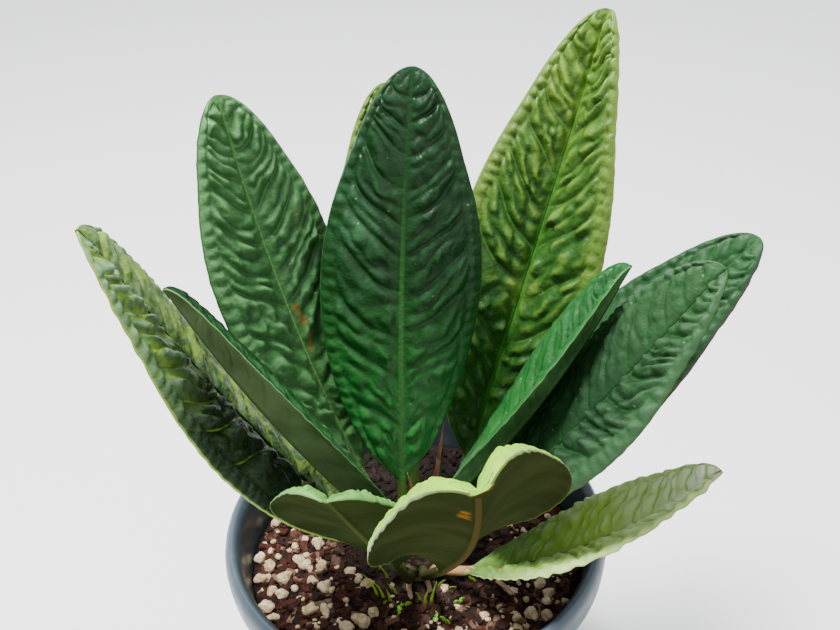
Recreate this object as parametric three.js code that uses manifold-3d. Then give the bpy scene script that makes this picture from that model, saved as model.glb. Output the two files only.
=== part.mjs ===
// Potted Anthurium superbum: a plastic nursery pot, the bark and pumice mix in it, a short stem
// with its roots, and twelve quilted leaves that spread from the stem as a nest.
// Millimetres, +Z up, +Y away from the viewer. The pot stands on z = 0, its axis is the Z axis.
import * as THREE from "three";
import { mergeVertices } from "three/addons/utils/BufferGeometryUtils.js";
import Module from "manifold-3d";

const wasm = await Module();
wasm.setup();

// Driving dimensions
const clearance = 0.3;           // air left between two touching pieces
const potHeight = 155;
const rimRadius = 90;            // widest point of the rolled rim
const rimTopRadius = 87.5;       // outer edge of the rim's top
const rimDepth = 17;             // how far the rim reaches down the outside
const wallThickness = 2;
const baseRadius = 64;
const floorThickness = 2.4;
const potSegments = 44;
const drainHoleRadius = 5;
const drainHoleCircle = 46;
const drainHoleCount = 6;

const soilLevel = potHeight - 24;
const soilCrown = 0.8;           // the mix stands this much higher in the middle
const barkChipCount = 32;
const pumiceCount = 18;
const chipFreeRadius = 22;       // no chips closer to the stem than this
const chipOuterRadius = 72;

const stemFoot = new THREE.Vector3(2, -10, soilLevel);
const stemRadius = 8.5;
const stemTopRadius = 7;
const stemHeight = 24;
const stemSunk = 12;
const rootRadius = 1.15;
const rootSides = 5;
const socketSides = 8;

const bladeThickness = 0.9;
const petioleRadius = 2.3;
const socketReach = 5.5;         // how near the stem's axis a petiole ends
const lateralVeins = 11;         // side veins on each half of a blade
const veinSweep = 0.16;          // how far a side vein runs towards the tip, as a share of the length
const veinCurve = 1.3;           // above 1, a side vein bends up towards the tip on its way out
const veinCrowding = 1.2;        // above 0, the side veins lie closer together towards the tip
const marginVein = 0.78;         // the vein that follows the margin: 0 at the midrib, 1 at the margin
const pillowHeight = 2.1;        // how far the blade bulges up between two side veins
const marginWave = 1.1;
const tipBend = 0.07;            // share of the length at the tip that bends down with the margin
const midribDepth = 1.5;         // how far the midrib stands out below the blade at its base

const degree = Math.PI / 180;

// Colours and finishes
const darkGreen = { color: 0x2c5c35, roughness: 0.42, metalness: 0 };
const sheenGreen = { color: 0x55783f, roughness: 0.45, metalness: 0 };
const youngGreen = { color: 0x7d9f3c, roughness: 0.45, metalness: 0 };
const potPlastic = { color: 0x46545c, roughness: 0.38, metalness: 0 };
const soilMix = { color: 0x5a3a32, roughness: 0.95, metalness: 0 };
const stemBrown = { color: 0x6a5a3e, roughness: 0.8, metalness: 0 };

// The leaves, front to back. azimuth (from +X) and elevation give the midrib's direction at the
// root and at the tip, bend above 1 keeps the turn for the tip. roll turns the blade about its
// midrib. fold is the angle at which the halves rise from the midrib, curl how far they come back
// down towards the margin. droop is how far the margin itself bends down. root is where the free
// petiole starts, from the stem's foot; socket is the direction and the height at which it enters
// the stem.
const leafShapes = [
  { name: "leaf_front_centre", azimuth: [-76.4, -95.6], elevation: [50.2, 55.3], roll: [-2.4, -25.1],
    fold: 41.5, curl: 60, length: 243, width: 67.6, petiole: 55.5, widest: 0.585, bend: 1.3,
    droop: 3.2, root: [2, -15, 13], socket: [-88, 10], finish: darkGreen },
  { name: "leaf_front_left", azimuth: [-108, -92], elevation: [58.4, 52.5], roll: [-3, 7], fold: 18,
    curl: 23, length: 168, width: 60, petiole: 32, widest: 0.54, bend: 1.35,
    droop: 1.6, root: [-6, -14, 10], socket: [-120, 6], finish: darkGreen },
  { name: "leaf_low_right", azimuth: [-36, 3], elevation: [22, 45], roll: [7, 13], fold: 21,
    curl: 8, length: 134, width: 52, petiole: 17, widest: 0.52, bend: 0.6,
    droop: 0.6, root: [7.5, -8, 9], socket: [-50, 5.5], finish: sheenGreen },
  { name: "leaf_right_front", azimuth: [-25, -11], elevation: [57, 60], roll: [-4, -23], fold: 20,
    curl: 33, length: 175, width: 67, petiole: 32, widest: 0.54, bend: 1.15,
    droop: 0.8, root: [10, -4.5, 14], socket: [-20, 12], finish: darkGreen },
  { name: "leaf_right_folded", azimuth: [-4, -2], elevation: [48, 69], roll: [26, 4], fold: 38,
    curl: 23, length: 156, width: 50, petiole: 12, widest: 0.54, bend: 1,
    droop: 0.5, root: [0, 1.5, 28], socket: [150, 15], finish: darkGreen },
  { name: "leaf_right_back", azimuth: [-8, 5], elevation: [57, 47], roll: [-13, -26], fold: 20,
    curl: 23, length: 185, width: 61, petiole: 26, widest: 0.51, bend: 1.3,
    droop: 0.8, root: [10, 3, 10], socket: [5, 6.5], finish: darkGreen },
  { name: "leaf_left_front", azimuth: [200, 203], elevation: [59, 69.2], roll: [12, 15], fold: 9,
    curl: 37, length: 213, width: 70, petiole: 28, widest: 0.53, bend: 0.9,
    droop: 0.8, root: [-8, -4, 5], socket: [198, 3], finish: sheenGreen },
  { name: "leaf_left_folded", azimuth: [224, 178], elevation: [59.5, 68], roll: [3.2, -24.1], fold: 43.2,
    curl: 24, length: 161, width: 46.4, petiole: 28, widest: 0.41, bend: 1.3,
    droop: 0.5, root: [-5, -7, 26], socket: [250, 18], finish: darkGreen },
  { name: "leaf_centre", azimuth: [81, 63], elevation: [86, 73], roll: [-29, -14], fold: 4,
    curl: 25, length: 187, width: 69, petiole: 40, widest: 0.51, bend: 0.75,
    droop: 1, root: [-7, -3, 16], socket: [185, 10], finish: darkGreen },
  { name: "leaf_left_back", azimuth: [170, 133], elevation: [69, 78], roll: [9, 9], fold: 17,
    curl: 21, length: 188, width: 63, petiole: 48, widest: 0.56, bend: 1.25,
    droop: 1, root: [-7, 6, 6], socket: [143, 3], finish: darkGreen },
  { name: "leaf_tall_right", azimuth: [41.5, 43], elevation: [64, 66], roll: [-43, -6], fold: 31,
    curl: 16, length: 214, width: 71, petiole: 41, widest: 0.48, bend: 1.25,
    droop: 0.8, root: [10, 11, 9], socket: [50, 3.5], finish: youngGreen },
  { name: "leaf_back", azimuth: [94, 92], elevation: [67, 72], roll: [-3, -2], fold: 12,
    curl: 25, length: 168, width: 60, petiole: 48, widest: 0.5, bend: 1.3,
    droop: 0.8, root: [0, 6, 11], socket: [98, 5], finish: youngGreen },
];

// Roots, as points from the stem's foot: down the front of the stem, and one long one that lies
// on the mix to the right.
const rootPaths = [
  [[-3.5, -6, 1.8], [-6, -11, 3.2], [-5.5, -17, 2.4], [-4, -21, -3]],
  [[1.5, -5.5, 2.5], [2.5, -10, 4], [3.5, -15, 2.4], [3, -18, -3]],
  [[5, -2, 1.8], [15, -3, 3.2], [25, -5, 2.5], [34, -10, 2.2], [41, -19, 2], [46, -27, -3]],
];

// Dry pointed sheaths that stand up out of the stem's tip: foot and tip from the stem's foot
const sheaths = [
  { foot: [0, -1, 20], tip: [-3.5, -1, 65], radius: 2.4 },
  { foot: [1, 4.5, 19], tip: [14, 12, 84], radius: 2.2 },
];

// Seedlings of grass that come up beside the stem: foot, lean and height
const seedlings = [
  { foot: [-14, -15], lean: [-5, -3], height: 13 },
  { foot: [-17, -10], lean: [-6, 1], height: 15 },
  { foot: [-15, -19], lean: [-2, -5], height: 9 },
  { foot: [-11, -22], lean: [-5, -2], height: 11 },
  { foot: [10, -22], lean: [3, -4], height: 12 },
  { foot: [14, -23], lean: [4, -4], height: 8 },
  { foot: [8, -26], lean: [-1, -4], height: 10 },
];

// Turns a closed geometry's faces outward, by the sign of its volume.
function facedOutward(geometry) {
  geometry.deleteAttribute("normal");
  geometry.deleteAttribute("uv");
  const merged = mergeVertices(geometry, 1e-3);
  const position = merged.getAttribute("position");
  const index = merged.getIndex().array;
  const a = new THREE.Vector3();
  const b = new THREE.Vector3();
  const c = new THREE.Vector3();
  let volume = 0;
  for (let i = 0; i < index.length; i += 3) {
    a.fromBufferAttribute(position, index[i]);
    b.fromBufferAttribute(position, index[i + 1]);
    c.fromBufferAttribute(position, index[i + 2]);
    volume += a.dot(b.cross(c)) / 6;
  }
  const kept = [];
  for (let i = 0; i < index.length; i += 3) {
    const corners = [index[i], index[i + 1], index[i + 2]];
    const flat = corners[0] === corners[1] || corners[1] === corners[2] || corners[0] === corners[2];
    if (!flat) kept.push(...(volume < 0 ? corners.reverse() : corners));
  }
  merged.setIndex(kept);
  return merged;
}

function solidOf(geometry) {
  const closed = facedOutward(geometry);
  const vertProperties = new Float32Array(closed.getAttribute("position").array);
  const triVerts = new Uint32Array(closed.getIndex().array);
  return new wasm.Manifold(new wasm.Mesh({ numProp: 3, vertProperties, triVerts }));
}

function geometryOf(solid) {
  const mesh = solid.getMesh();
  const geometry = new THREE.BufferGeometry();
  geometry.setAttribute("position", new THREE.BufferAttribute(mesh.vertProperties, 3));
  geometry.setIndex(new THREE.BufferAttribute(mesh.triVerts, 1));
  geometry.computeVertexNormals();
  return geometry;
}

function lathe(profile) {
  const points = profile.map(([r, z]) => new THREE.Vector2(r, z));
  return new THREE.LatheGeometry(points, potSegments).rotateX(Math.PI / 2);
}

function smoothStep(from, to, x) {
  const t = Math.min(Math.max((x - from) / (to - from), 0), 1);
  return t * t * (3 - 2 * t);
}

// Steady pseudo-random numbers, so that the chips always fall the same way
function seededRandom(seed) {
  let state = seed;
  return () => {
    state = (state * 1664525 + 1013904223) % 4294967296;
    return state / 4294967296;
  };
}

// The pot

const rimFoot = potHeight - rimDepth;
const wallTopRadius = rimTopRadius - 2.5;

function innerWallRadius(z) {
  const share = (z - floorThickness) / (potHeight - floorThickness);
  return baseRadius - wallThickness + (wallTopRadius - baseRadius) * share;
}

function potGeometry() {
  const outline = [
    [0, 0], [baseRadius - 2, 0], [baseRadius, 2],
    [wallTopRadius - 1.4, rimFoot + 1], [rimRadius - 1.8, rimFoot], [rimRadius - 0.6, rimFoot + 2],
    [rimRadius, potHeight - 8], [rimRadius - 0.6, potHeight - 4], [rimTopRadius, potHeight],
    [rimTopRadius - 1.6, potHeight], [innerWallRadius(potHeight) + 0.8, potHeight - 2],
    [innerWallRadius(potHeight - 8), potHeight - 8], [innerWallRadius(floorThickness), floorThickness],
    [0, floorThickness],
  ];
  let pot = solidOf(lathe(outline));
  for (let i = 0; i < drainHoleCount; i++) {
    const angle = (i + 0.5) * 2 * Math.PI / drainHoleCount;
    const hole = new THREE.CylinderGeometry(drainHoleRadius, drainHoleRadius, 3 * floorThickness, 16);
    hole.rotateX(Math.PI / 2);
    hole.translate(drainHoleCircle * Math.cos(angle), drainHoleCircle * Math.sin(angle), 0);
    pot = pot.subtract(solidOf(hole));
  }
  return geometryOf(pot);
}

// Leaves

// Half width of a blade as a share of its widest, u from 0 at the base to 1 at the tip
function bladeOutline(u, widest) {
  const x = Math.pow(u, Math.log(0.5) / Math.log(widest));
  const body = Math.pow(Math.sin(Math.PI * Math.min(x, 1)), 0.75);
  const tip = 1.52 * Math.sqrt(Math.max(1 - x, 0));
  const blend = smoothStep(0.12, 0.28, 1 - x);
  return tip * (1 - blend) + body * blend;
}

// The midrib as a list of points with their directions, from the petiole's root to the leaf's tip
function midribOf(leaf) {
  const steps = 60;
  const total = leaf.petiole + leaf.length;
  const point = new THREE.Vector3(...leaf.root).add(stemFoot);
  const stations = [];
  function directionAt(t) {
    const azimuth = (leaf.azimuth[0] + (leaf.azimuth[1] - leaf.azimuth[0]) * t) * degree;
    const turn = Math.pow(t, leaf.bend);
    const elevation = (leaf.elevation[0] + (leaf.elevation[1] - leaf.elevation[0]) * turn) * degree;
    const along = new THREE.Vector3(Math.cos(elevation) * Math.cos(azimuth),
      Math.cos(elevation) * Math.sin(azimuth), Math.sin(elevation));
    const side = new THREE.Vector3(Math.sin(azimuth), -Math.cos(azimuth), 0);
    return { along, side };
  }
  for (let i = 0; i <= steps; i++) {
    stations.push({ point: point.clone(), ...directionAt(i / steps) });
    point.addScaledVector(directionAt((i + 0.5) / steps).along, total / steps);
  }
  return (t) => {
    const place = Math.min(Math.max(t, 0), 1) * steps;
    const low = Math.min(Math.floor(place), steps - 1);
    const share = place - low;
    const first = stations[low];
    const second = stations[low + 1];
    const along = first.along.clone().lerp(second.along, share).normalize();
    const side = first.side.clone().lerp(second.side, share).normalize();
    const up = new THREE.Vector3().crossVectors(side, along).normalize();
    return { point: first.point.clone().lerp(second.point, share), along, side, up };
  };
}

// How many side veins leave the midrib before s, and where the one of a given number leaves it
function veinsBefore(s) {
  return lateralVeins * s * (1 + veinCrowding * s) / (1 + veinCrowding);
}

function veinPlace(count) {
  const share = count * (1 + veinCrowding) / lateralVeins;
  return (Math.sqrt(1 + 4 * veinCrowding * share) - 1) / (2 * veinCrowding);
}

// The quilting: a pillow between each two side veins, highest before the vein along the margin
function pillowAt(s, across) {
  const between = Math.abs(Math.sin(Math.PI * veinsBefore(s)));
  if (across <= marginVein) {
    const x = across / marginVein;
    return pillowHeight * Math.pow(between, 0.7) * 1.9 * x * Math.sqrt(1 - x);
  }
  const x = (across - marginVein) / (1 - marginVein);
  return marginWave * between * Math.sin(Math.PI * 0.75 * x);
}

// A point of the blade. s runs along the midrib, v across from -1 to 1; face is 1 above, -1 below.
function bladePoint(leaf, midrib, s, v, face) {
  const across = Math.abs(v);
  const u = s + veinSweep * Math.pow(across, veinCurve) * 4 * s * (1 - s);
  const station = midrib((leaf.petiole + u * leaf.length) / (leaf.petiole + leaf.length));
  const roll = (leaf.roll[0] + (leaf.roll[1] - leaf.roll[0]) * u) * degree;
  const cos = Math.cos(roll);
  const sin = Math.sin(roll);
  const side = station.side.clone().multiplyScalar(cos).addScaledVector(station.up, sin);
  const up = station.up.clone().multiplyScalar(cos).addScaledVector(station.side, -sin);
  const half = leaf.width / 2;
  const reach = across * Math.max(half * bladeOutline(u, leaf.widest), 0.4);
  const fold = leaf.fold * degree;
  const curl = leaf.curl * degree;
  const slope = fold - curl * reach / half;
  const outward = (half / curl) * (Math.sin(fold) - Math.sin(slope));
  const rise = (half / curl) * (Math.cos(slope) - Math.cos(fold));
  const sign = Math.sign(v);
  const point = station.point.clone().addScaledVector(side, outward * sign).addScaledVector(up, rise);
  const normal = up.clone().multiplyScalar(across ? Math.cos(slope) : 1)
    .addScaledVector(side, -Math.sin(across ? slope : 0) * sign);
  const fade = smoothStep(0, 0.12, u) * smoothStep(0, 0.1, 1 - u);
  const edge = Math.max((across - marginVein) / (1 - marginVein), 0) * smoothStep(0.1, 0.4, u);
  const end = Math.max((u - 1 + tipBend) / tipBend, 0);
  let offset = pillowAt(s, across) * fade + face * bladeThickness / 2;
  offset -= leaf.droop * Math.min(Math.hypot(edge * edge, end * end), 1);
  if (face < 0) offset -= midribDepth * (1 - 0.8 * u) * Math.max(1 - across / 0.07, 0);
  return point.addScaledVector(normal, offset);
}

// A point of the petiole's skin, on an ellipse around the midrib
function petiolePoint(station, v, face, radius) {
  const angle = (90 - 80 * v) * degree;
  return station.point.clone()
    .addScaledVector(station.side, Math.cos(angle) * radius)
    .addScaledVector(station.up, face * Math.sin(angle) * radius);
}

const columns = [-1, -marginVein, -0.45, -0.07, 0, 0.07, 0.45, marginVein, 1];

// The stretch of petiole inside the stem and out to the leaf's root, as stations on a curve
function socketStations(leaf, midrib, inset) {
  const [angle, height] = leaf.socket;
  const inner = new THREE.Vector3(Math.cos(angle * degree) * socketReach,
    Math.sin(angle * degree) * socketReach, height).add(stemFoot);
  const first = midrib(0);
  const curve = new THREE.QuadraticBezierCurve3(inner,
    first.point.clone().addScaledVector(first.along, -3), first.point);
  const stations = [0, 0.5].map((t) => {
    const along = curve.getTangent(t);
    const side = first.side.clone().addScaledVector(along, -first.side.dot(along)).normalize();
    const up = new THREE.Vector3().crossVectors(side, along).normalize();
    return { point: curve.getPoint(t), along, side, up };
  });
  stations[0].point.addScaledVector(stations[0].along, -inset);
  return stations;
}

function petioleRows(leaf, midrib) {
  const total = leaf.petiole + leaf.length;
  const free = [0, 0.5].map((share) => midrib(share * leaf.petiole / total));
  const stations = [...socketStations(leaf, midrib, 0), ...free];
  return stations.map((station) => [1, -1].map((face) =>
    columns.map((v) => petiolePoint(station, v, face, petioleRadius))));
}

function bladeRows(leaf, midrib) {
  const total = leaf.petiole + leaf.length;
  const places = [];
  for (let i = 0; i <= 2 * lateralVeins; i++) places.push(veinPlace(i / 2));
  places.splice(places.length - 1, 0, 0.985);
  return places.map((s) => [1, -1].map((face) => columns.map((v) => {
    const station = midrib((leaf.petiole + s * leaf.length) / total);
    const stalk = petiolePoint(station, v, face, petioleRadius);
    const blade = bladePoint(leaf, midrib, s, v, face);
    return stalk.lerp(blade, smoothStep(0, 0.06, s));
  })));
}

// Closes rows of points, each with an upper and a lower line, into one skin. Both faces are split
// into triangles along the same diagonals.
function skinOf(rows) {
  const positions = [];
  const index = [];
  const wide = columns.length;
  for (const [upper, lower] of rows) {
    for (const point of [...upper, ...lower]) positions.push(point.x, point.y, point.z);
  }
  const at = (row, face, column) => row * 2 * wide + face * wide + column;
  function quad(a, b, c, d) {
    index.push(a, b, c, a, c, d);
  }
  for (let row = 0; row + 1 < rows.length; row++) {
    for (let column = 0; column + 1 < wide; column++) {
      quad(at(row, 0, column), at(row, 0, column + 1), at(row + 1, 0, column + 1), at(row + 1, 0, column));
      index.push(at(row, 1, column), at(row + 1, 1, column + 1), at(row, 1, column + 1));
      index.push(at(row, 1, column), at(row + 1, 1, column), at(row + 1, 1, column + 1));
    }
    quad(at(row, 1, 0), at(row, 0, 0), at(row + 1, 0, 0), at(row + 1, 1, 0));
    quad(at(row, 0, wide - 1), at(row, 1, wide - 1), at(row + 1, 1, wide - 1), at(row + 1, 0, wide - 1));
  }
  for (let column = 0; column + 1 < wide; column++) {
    const last = rows.length - 1;
    quad(at(0, 0, column + 1), at(0, 0, column), at(0, 1, column), at(0, 1, column + 1));
    quad(at(last, 0, column), at(last, 0, column + 1), at(last, 1, column + 1), at(last, 1, column));
  }
  const geometry = new THREE.BufferGeometry();
  geometry.setAttribute("position", new THREE.BufferAttribute(new Float32Array(positions), 3));
  geometry.setIndex(index);
  return facedOutward(geometry);
}

function leafGeometry(leaf) {
  const midrib = midribOf(leaf);
  return skinOf([...petioleRows(leaf, midrib), ...bladeRows(leaf, midrib)]);
}

// The hollow in the stem that a petiole sits in: a plain tube around it, with few sides
function socketSolid(leaf) {
  const midrib = midribOf(leaf);
  const free = leaf.petiole / (leaf.petiole + leaf.length);
  const stations = [...socketStations(leaf, midrib, clearance), midrib(0), midrib(0.5 * free)];
  const radius = (petioleRadius + 1.3 * clearance) / Math.cos(Math.PI / socketSides);
  const positions = [];
  const index = [];
  for (const { point, side, up } of stations) {
    for (let i = 0; i < socketSides; i++) {
      const angle = (i + 0.5) * 2 * Math.PI / socketSides;
      const corner = point.clone().addScaledVector(side, Math.cos(angle) * radius)
        .addScaledVector(up, Math.sin(angle) * radius);
      positions.push(corner.x, corner.y, corner.z);
    }
  }
  for (let ring = 0; ring + 1 < stations.length; ring++) {
    for (let i = 0; i < socketSides; i++) {
      const a = ring * socketSides + i;
      const b = ring * socketSides + (i + 1) % socketSides;
      index.push(a, b, b + socketSides, a, b + socketSides, a + socketSides);
    }
  }
  const last = (stations.length - 1) * socketSides;
  for (let i = 1; i + 1 < socketSides; i++) {
    index.push(0, i + 1, i, last, last + i, last + i + 1);
  }
  const geometry = new THREE.BufferGeometry();
  geometry.setAttribute("position", new THREE.BufferAttribute(new Float32Array(positions), 3));
  geometry.setIndex(index);
  return solidOf(geometry);
}

// Stem and roots

function stemBody(grow) {
  const foot = -stemSunk - grow;
  const profile = [
    [0, foot], [stemRadius - 1 + grow, foot], [stemRadius + grow, 0], [stemRadius + grow, 6],
    [stemTopRadius + 0.6 + grow, 15], [stemTopRadius + grow, stemHeight - 3],
    [stemTopRadius - 2, stemHeight - 0.5 + grow], [0, stemHeight + grow],
  ];
  const points = profile.map(([r, z]) => new THREE.Vector2(r, z));
  const body = new THREE.LatheGeometry(points, 16).rotateX(Math.PI / 2);
  body.translate(stemFoot.x, stemFoot.y, stemFoot.z);
  return solidOf(body);
}

function rootTube(path, radius) {
  const curve = new THREE.CatmullRomCurve3(path.map((p) => new THREE.Vector3(...p).add(stemFoot)));
  const section = new THREE.Shape();
  for (let i = 0; i < rootSides; i++) {
    const angle = i * 2 * Math.PI / rootSides;
    const x = radius * Math.cos(angle);
    const y = radius * Math.sin(angle);
    if (i === 0) section.moveTo(x, y);
    else section.lineTo(x, y);
  }
  section.closePath();
  const steps = 2 * path.length;
  const tube = new THREE.ExtrudeGeometry(section, { steps, bevelEnabled: false, extrudePath: curve });
  return solidOf(tube);
}

function sheathSolid({ foot, tip, radius }) {
  const start = new THREE.Vector3(...foot);
  const along = new THREE.Vector3(...tip).sub(start);
  const cone = new THREE.ConeGeometry(radius, along.length(), 6).translate(0, along.length() / 2, 0);
  const upright = new THREE.Vector3(0, 1, 0);
  cone.applyQuaternion(new THREE.Quaternion().setFromUnitVectors(upright, along.normalize()));
  cone.translate(...start.add(stemFoot).toArray());
  return solidOf(cone);
}

function stemGeometry() {
  let stem = stemBody(0);
  for (const path of rootPaths) stem = stem.add(rootTube(path, rootRadius));
  for (const sheath of sheaths) stem = stem.add(sheathSolid(sheath));
  for (const leaf of leafShapes) stem = stem.subtract(socketSolid(leaf));
  return geometryOf(stem);
}

// The mix of bark and pumice

function soilBody() {
  const low = floorThickness + clearance;
  const edge = soilLevel - 1.5;
  return solidOf(lathe([
    [0, low], [innerWallRadius(low) - clearance, low], [innerWallRadius(edge) - clearance, edge],
    [60, soilLevel - 0.3], [30, soilLevel + 0.5], [0, soilLevel + soilCrown],
  ]));
}

function distanceToRoots(x, y) {
  let nearest = Infinity;
  for (const path of rootPaths) {
    for (let i = 0; i + 1 < path.length; i++) {
      const start = new THREE.Vector3(path[i][0] + stemFoot.x, path[i][1] + stemFoot.y, 0);
      const end = new THREE.Vector3(path[i + 1][0] + stemFoot.x, path[i + 1][1] + stemFoot.y, 0);
      const near = new THREE.Line3(start, end)
        .closestPointToPoint(new THREE.Vector3(x, y, 0), true, new THREE.Vector3());
      nearest = Math.min(nearest, Math.hypot(near.x - x, near.y - y));
    }
  }
  return nearest;
}

// Free places for the chips: clear of the stem, the roots, the wall and of each other
function chipPlaces(random, count, spacing, taken) {
  const places = [];
  for (let tries = 0; tries < 4000 && places.length < count; tries++) {
    const angle = random() * 2 * Math.PI;
    const radius = chipOuterRadius * Math.sqrt(random());
    const x = radius * Math.cos(angle);
    const y = radius * Math.sin(angle);
    const fromStem = Math.hypot(x - stemFoot.x, y - stemFoot.y);
    const crowded = taken.some((other) => Math.hypot(other.x - x, other.y - y) < spacing);
    if (fromStem < chipFreeRadius || distanceToRoots(x, y) < 8 || crowded) continue;
    places.push({ x, y });
    taken.push({ x, y });
  }
  return places;
}

function barkChip(random, place) {
  const chip = new THREE.BoxGeometry(6 + 5 * random(), 3.5 + 2.5 * random(), 2.2 + random());
  chip.rotateX((random() - 0.5) * 0.7);
  chip.rotateY((random() - 0.5) * 0.6);
  chip.rotateZ(random() * Math.PI);
  chip.translate(place.x, place.y, soilLevel + 0.6);
  return solidOf(chip);
}

function pumiceGrain(random, place) {
  const size = 2.8 + 1.6 * random();
  const grain = new THREE.IcosahedronGeometry(size, 0);
  grain.scale(1, 0.75 + 0.2 * random(), 0.7);
  grain.rotateX(random() * 3);
  grain.rotateZ(random() * 3);
  grain.translate(place.x, place.y, soilLevel + 0.8);
  return solidOf(grain);
}

function seedlingSolid({ foot, lean, height }) {
  const blade = new THREE.CylinderGeometry(0.35, 1.1, height, 4, 2);
  blade.rotateX(Math.PI / 2);
  blade.translate(0, 0, height / 2 - 1.5);
  const position = blade.getAttribute("position");
  for (let i = 0; i < position.count; i++) {
    const share = Math.max(position.getZ(i) / height, 0);
    position.setX(i, position.getX(i) * 0.8 + lean[0] * share * share + foot[0]);
    position.setY(i, position.getY(i) * 0.8 + lean[1] * share * share + foot[1]);
    position.setZ(i, position.getZ(i) + soilLevel + 0.5);
  }
  return solidOf(blade);
}

function soilGeometry() {
  const random = seededRandom(7);
  const taken = [];
  let soil = soilBody();
  const grains = chipPlaces(random, pumiceCount, 8.5, taken).map((place) => pumiceGrain(random, place));
  const chips = chipPlaces(random, barkChipCount, 7, taken).map((place) => barkChip(random, place));
  const blades = seedlings.map((seedling) => seedlingSolid(seedling));
  for (const piece of [...grains, ...chips, ...blades]) soil = soil.add(piece);
  soil = soil.subtract(stemBody(clearance));
  for (const path of rootPaths) {
    const end = new THREE.IcosahedronGeometry(1.7 * rootRadius, 0);
    end.translate(...new THREE.Vector3(...path[path.length - 1]).add(stemFoot).toArray());
    soil = soil.subtract(rootTube(path, rootRadius + 1.3 * clearance)).subtract(solidOf(end));
  }
  return geometryOf(soil);
}

// Assembly

const plant = new THREE.Group();

function addPiece(name, geometry, finish) {
  geometry.computeVertexNormals();
  const mesh = new THREE.Mesh(geometry, new THREE.MeshStandardMaterial(finish));
  mesh.name = name;
  plant.add(mesh);
}

addPiece("pot", potGeometry(), potPlastic);
addPiece("potting_mix", soilGeometry(), soilMix);
addPiece("stem_and_roots", stemGeometry(), stemBrown);
for (const leaf of leafShapes) addPiece(leaf.name, leafGeometry(leaf), leaf.finish);

export default plant;
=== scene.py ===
import math
import random

import bmesh
import bpy
import numpy as np
from mathutils import Matrix, Vector, noise


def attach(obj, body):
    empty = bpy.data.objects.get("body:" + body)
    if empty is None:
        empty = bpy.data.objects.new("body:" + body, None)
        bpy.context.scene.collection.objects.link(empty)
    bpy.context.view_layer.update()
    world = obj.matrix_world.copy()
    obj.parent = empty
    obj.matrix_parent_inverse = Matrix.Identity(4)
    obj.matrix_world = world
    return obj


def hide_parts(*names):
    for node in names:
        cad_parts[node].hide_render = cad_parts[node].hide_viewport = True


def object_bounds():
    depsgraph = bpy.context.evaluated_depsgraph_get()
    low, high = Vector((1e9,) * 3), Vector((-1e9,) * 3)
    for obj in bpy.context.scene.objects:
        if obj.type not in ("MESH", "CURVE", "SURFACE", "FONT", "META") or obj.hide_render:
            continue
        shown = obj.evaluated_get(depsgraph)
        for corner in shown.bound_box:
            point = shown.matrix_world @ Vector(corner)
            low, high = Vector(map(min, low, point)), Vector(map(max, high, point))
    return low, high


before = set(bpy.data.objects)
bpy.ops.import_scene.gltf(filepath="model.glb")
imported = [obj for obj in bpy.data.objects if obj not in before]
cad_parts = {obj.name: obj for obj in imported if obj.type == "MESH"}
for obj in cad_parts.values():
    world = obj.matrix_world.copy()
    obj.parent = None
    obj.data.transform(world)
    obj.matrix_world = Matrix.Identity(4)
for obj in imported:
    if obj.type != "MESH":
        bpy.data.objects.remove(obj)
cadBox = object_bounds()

mm = 0.001


def srgb(hexColour):
    channels = [int(hexColour[i:i + 2], 16) / 255 for i in (1, 3, 5)]
    linear = [c / 12.92 if c <= 0.04045 else ((c + 0.055) / 1.055) ** 2.4 for c in channels]
    return (*linear, 1.0)


# Values for a node's inputs, by name or in the order in which the node shows them. A node or one of
# its outputs is linked, anything else is set.
def setInputs(tree, node, values):
    if isinstance(values, dict):
        pairs = [(node.inputs[name], value) for name, value in values.items()]
    else:
        pairs = zip([socket for socket in node.inputs if socket.enabled], values)
    for socket, value in pairs:
        if isinstance(value, bpy.types.Node):
            value = next(output for output in value.outputs if output.enabled)
        if isinstance(value, bpy.types.NodeSocket):
            tree.links.new(value, socket)
        else:
            socket.default_value = value


def addNode(tree, kind, values=(), **settings):
    node = tree.nodes.new("ShaderNode" + kind)
    for name, setting in settings.items():
        setattr(node, name, setting)
    setInputs(tree, node, values)
    return node


def newMaterial(name):
    material = bpy.data.materials.new(name)
    material.use_nodes = True
    return material, material.node_tree, material.node_tree.nodes["Principled BSDF"]


# A colour with others over it, each given with the mask that shows it
def overlay(tree, colour, *layers):
    for mask, other in layers:
        pair = [srgb(c) if isinstance(c, str) else c for c in (colour, other)]
        colour = addNode(tree, "Mix", (mask, *pair), data_type="RGBA")
    return colour


def smoothStep(low, high, x):
    t = np.clip((x - low) / (high - low), 0, 1)
    return t * t * (3 - 2 * t)


def between(ends, share):
    return ends[0] + (ends[1] - ends[0]) * share


def unit(vectors):
    return vectors / np.linalg.norm(vectors, axis=-1, keepdims=True)


def newMesh(name, bm):
    mesh = bpy.data.meshes.new(name)
    bm.to_mesh(mesh)
    bm.free()
    return mesh


def newPiece(name, bm, materials, node, smooth=True):
    mesh = newMesh(name, bm)
    for material in materials:
        mesh.materials.append(material)
    mesh.polygons.foreach_set("use_smooth", [smooth] * len(mesh.polygons))
    piece = bpy.data.objects.new(name, mesh)
    bpy.context.collection.objects.link(piece)
    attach(piece, "root")
    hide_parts(node)
    return piece


def storeVectors(mesh, name, values):
    layer = mesh.attributes.new(name, "FLOAT_VECTOR", "POINT")
    layer.data.foreach_set("vector", np.asarray(values, dtype=np.float32).ravel())


def readVectors(items, name):
    values = np.empty(len(items) * 3)
    items.foreach_get(name, values)
    return values.reshape(-1, 3)


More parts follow.
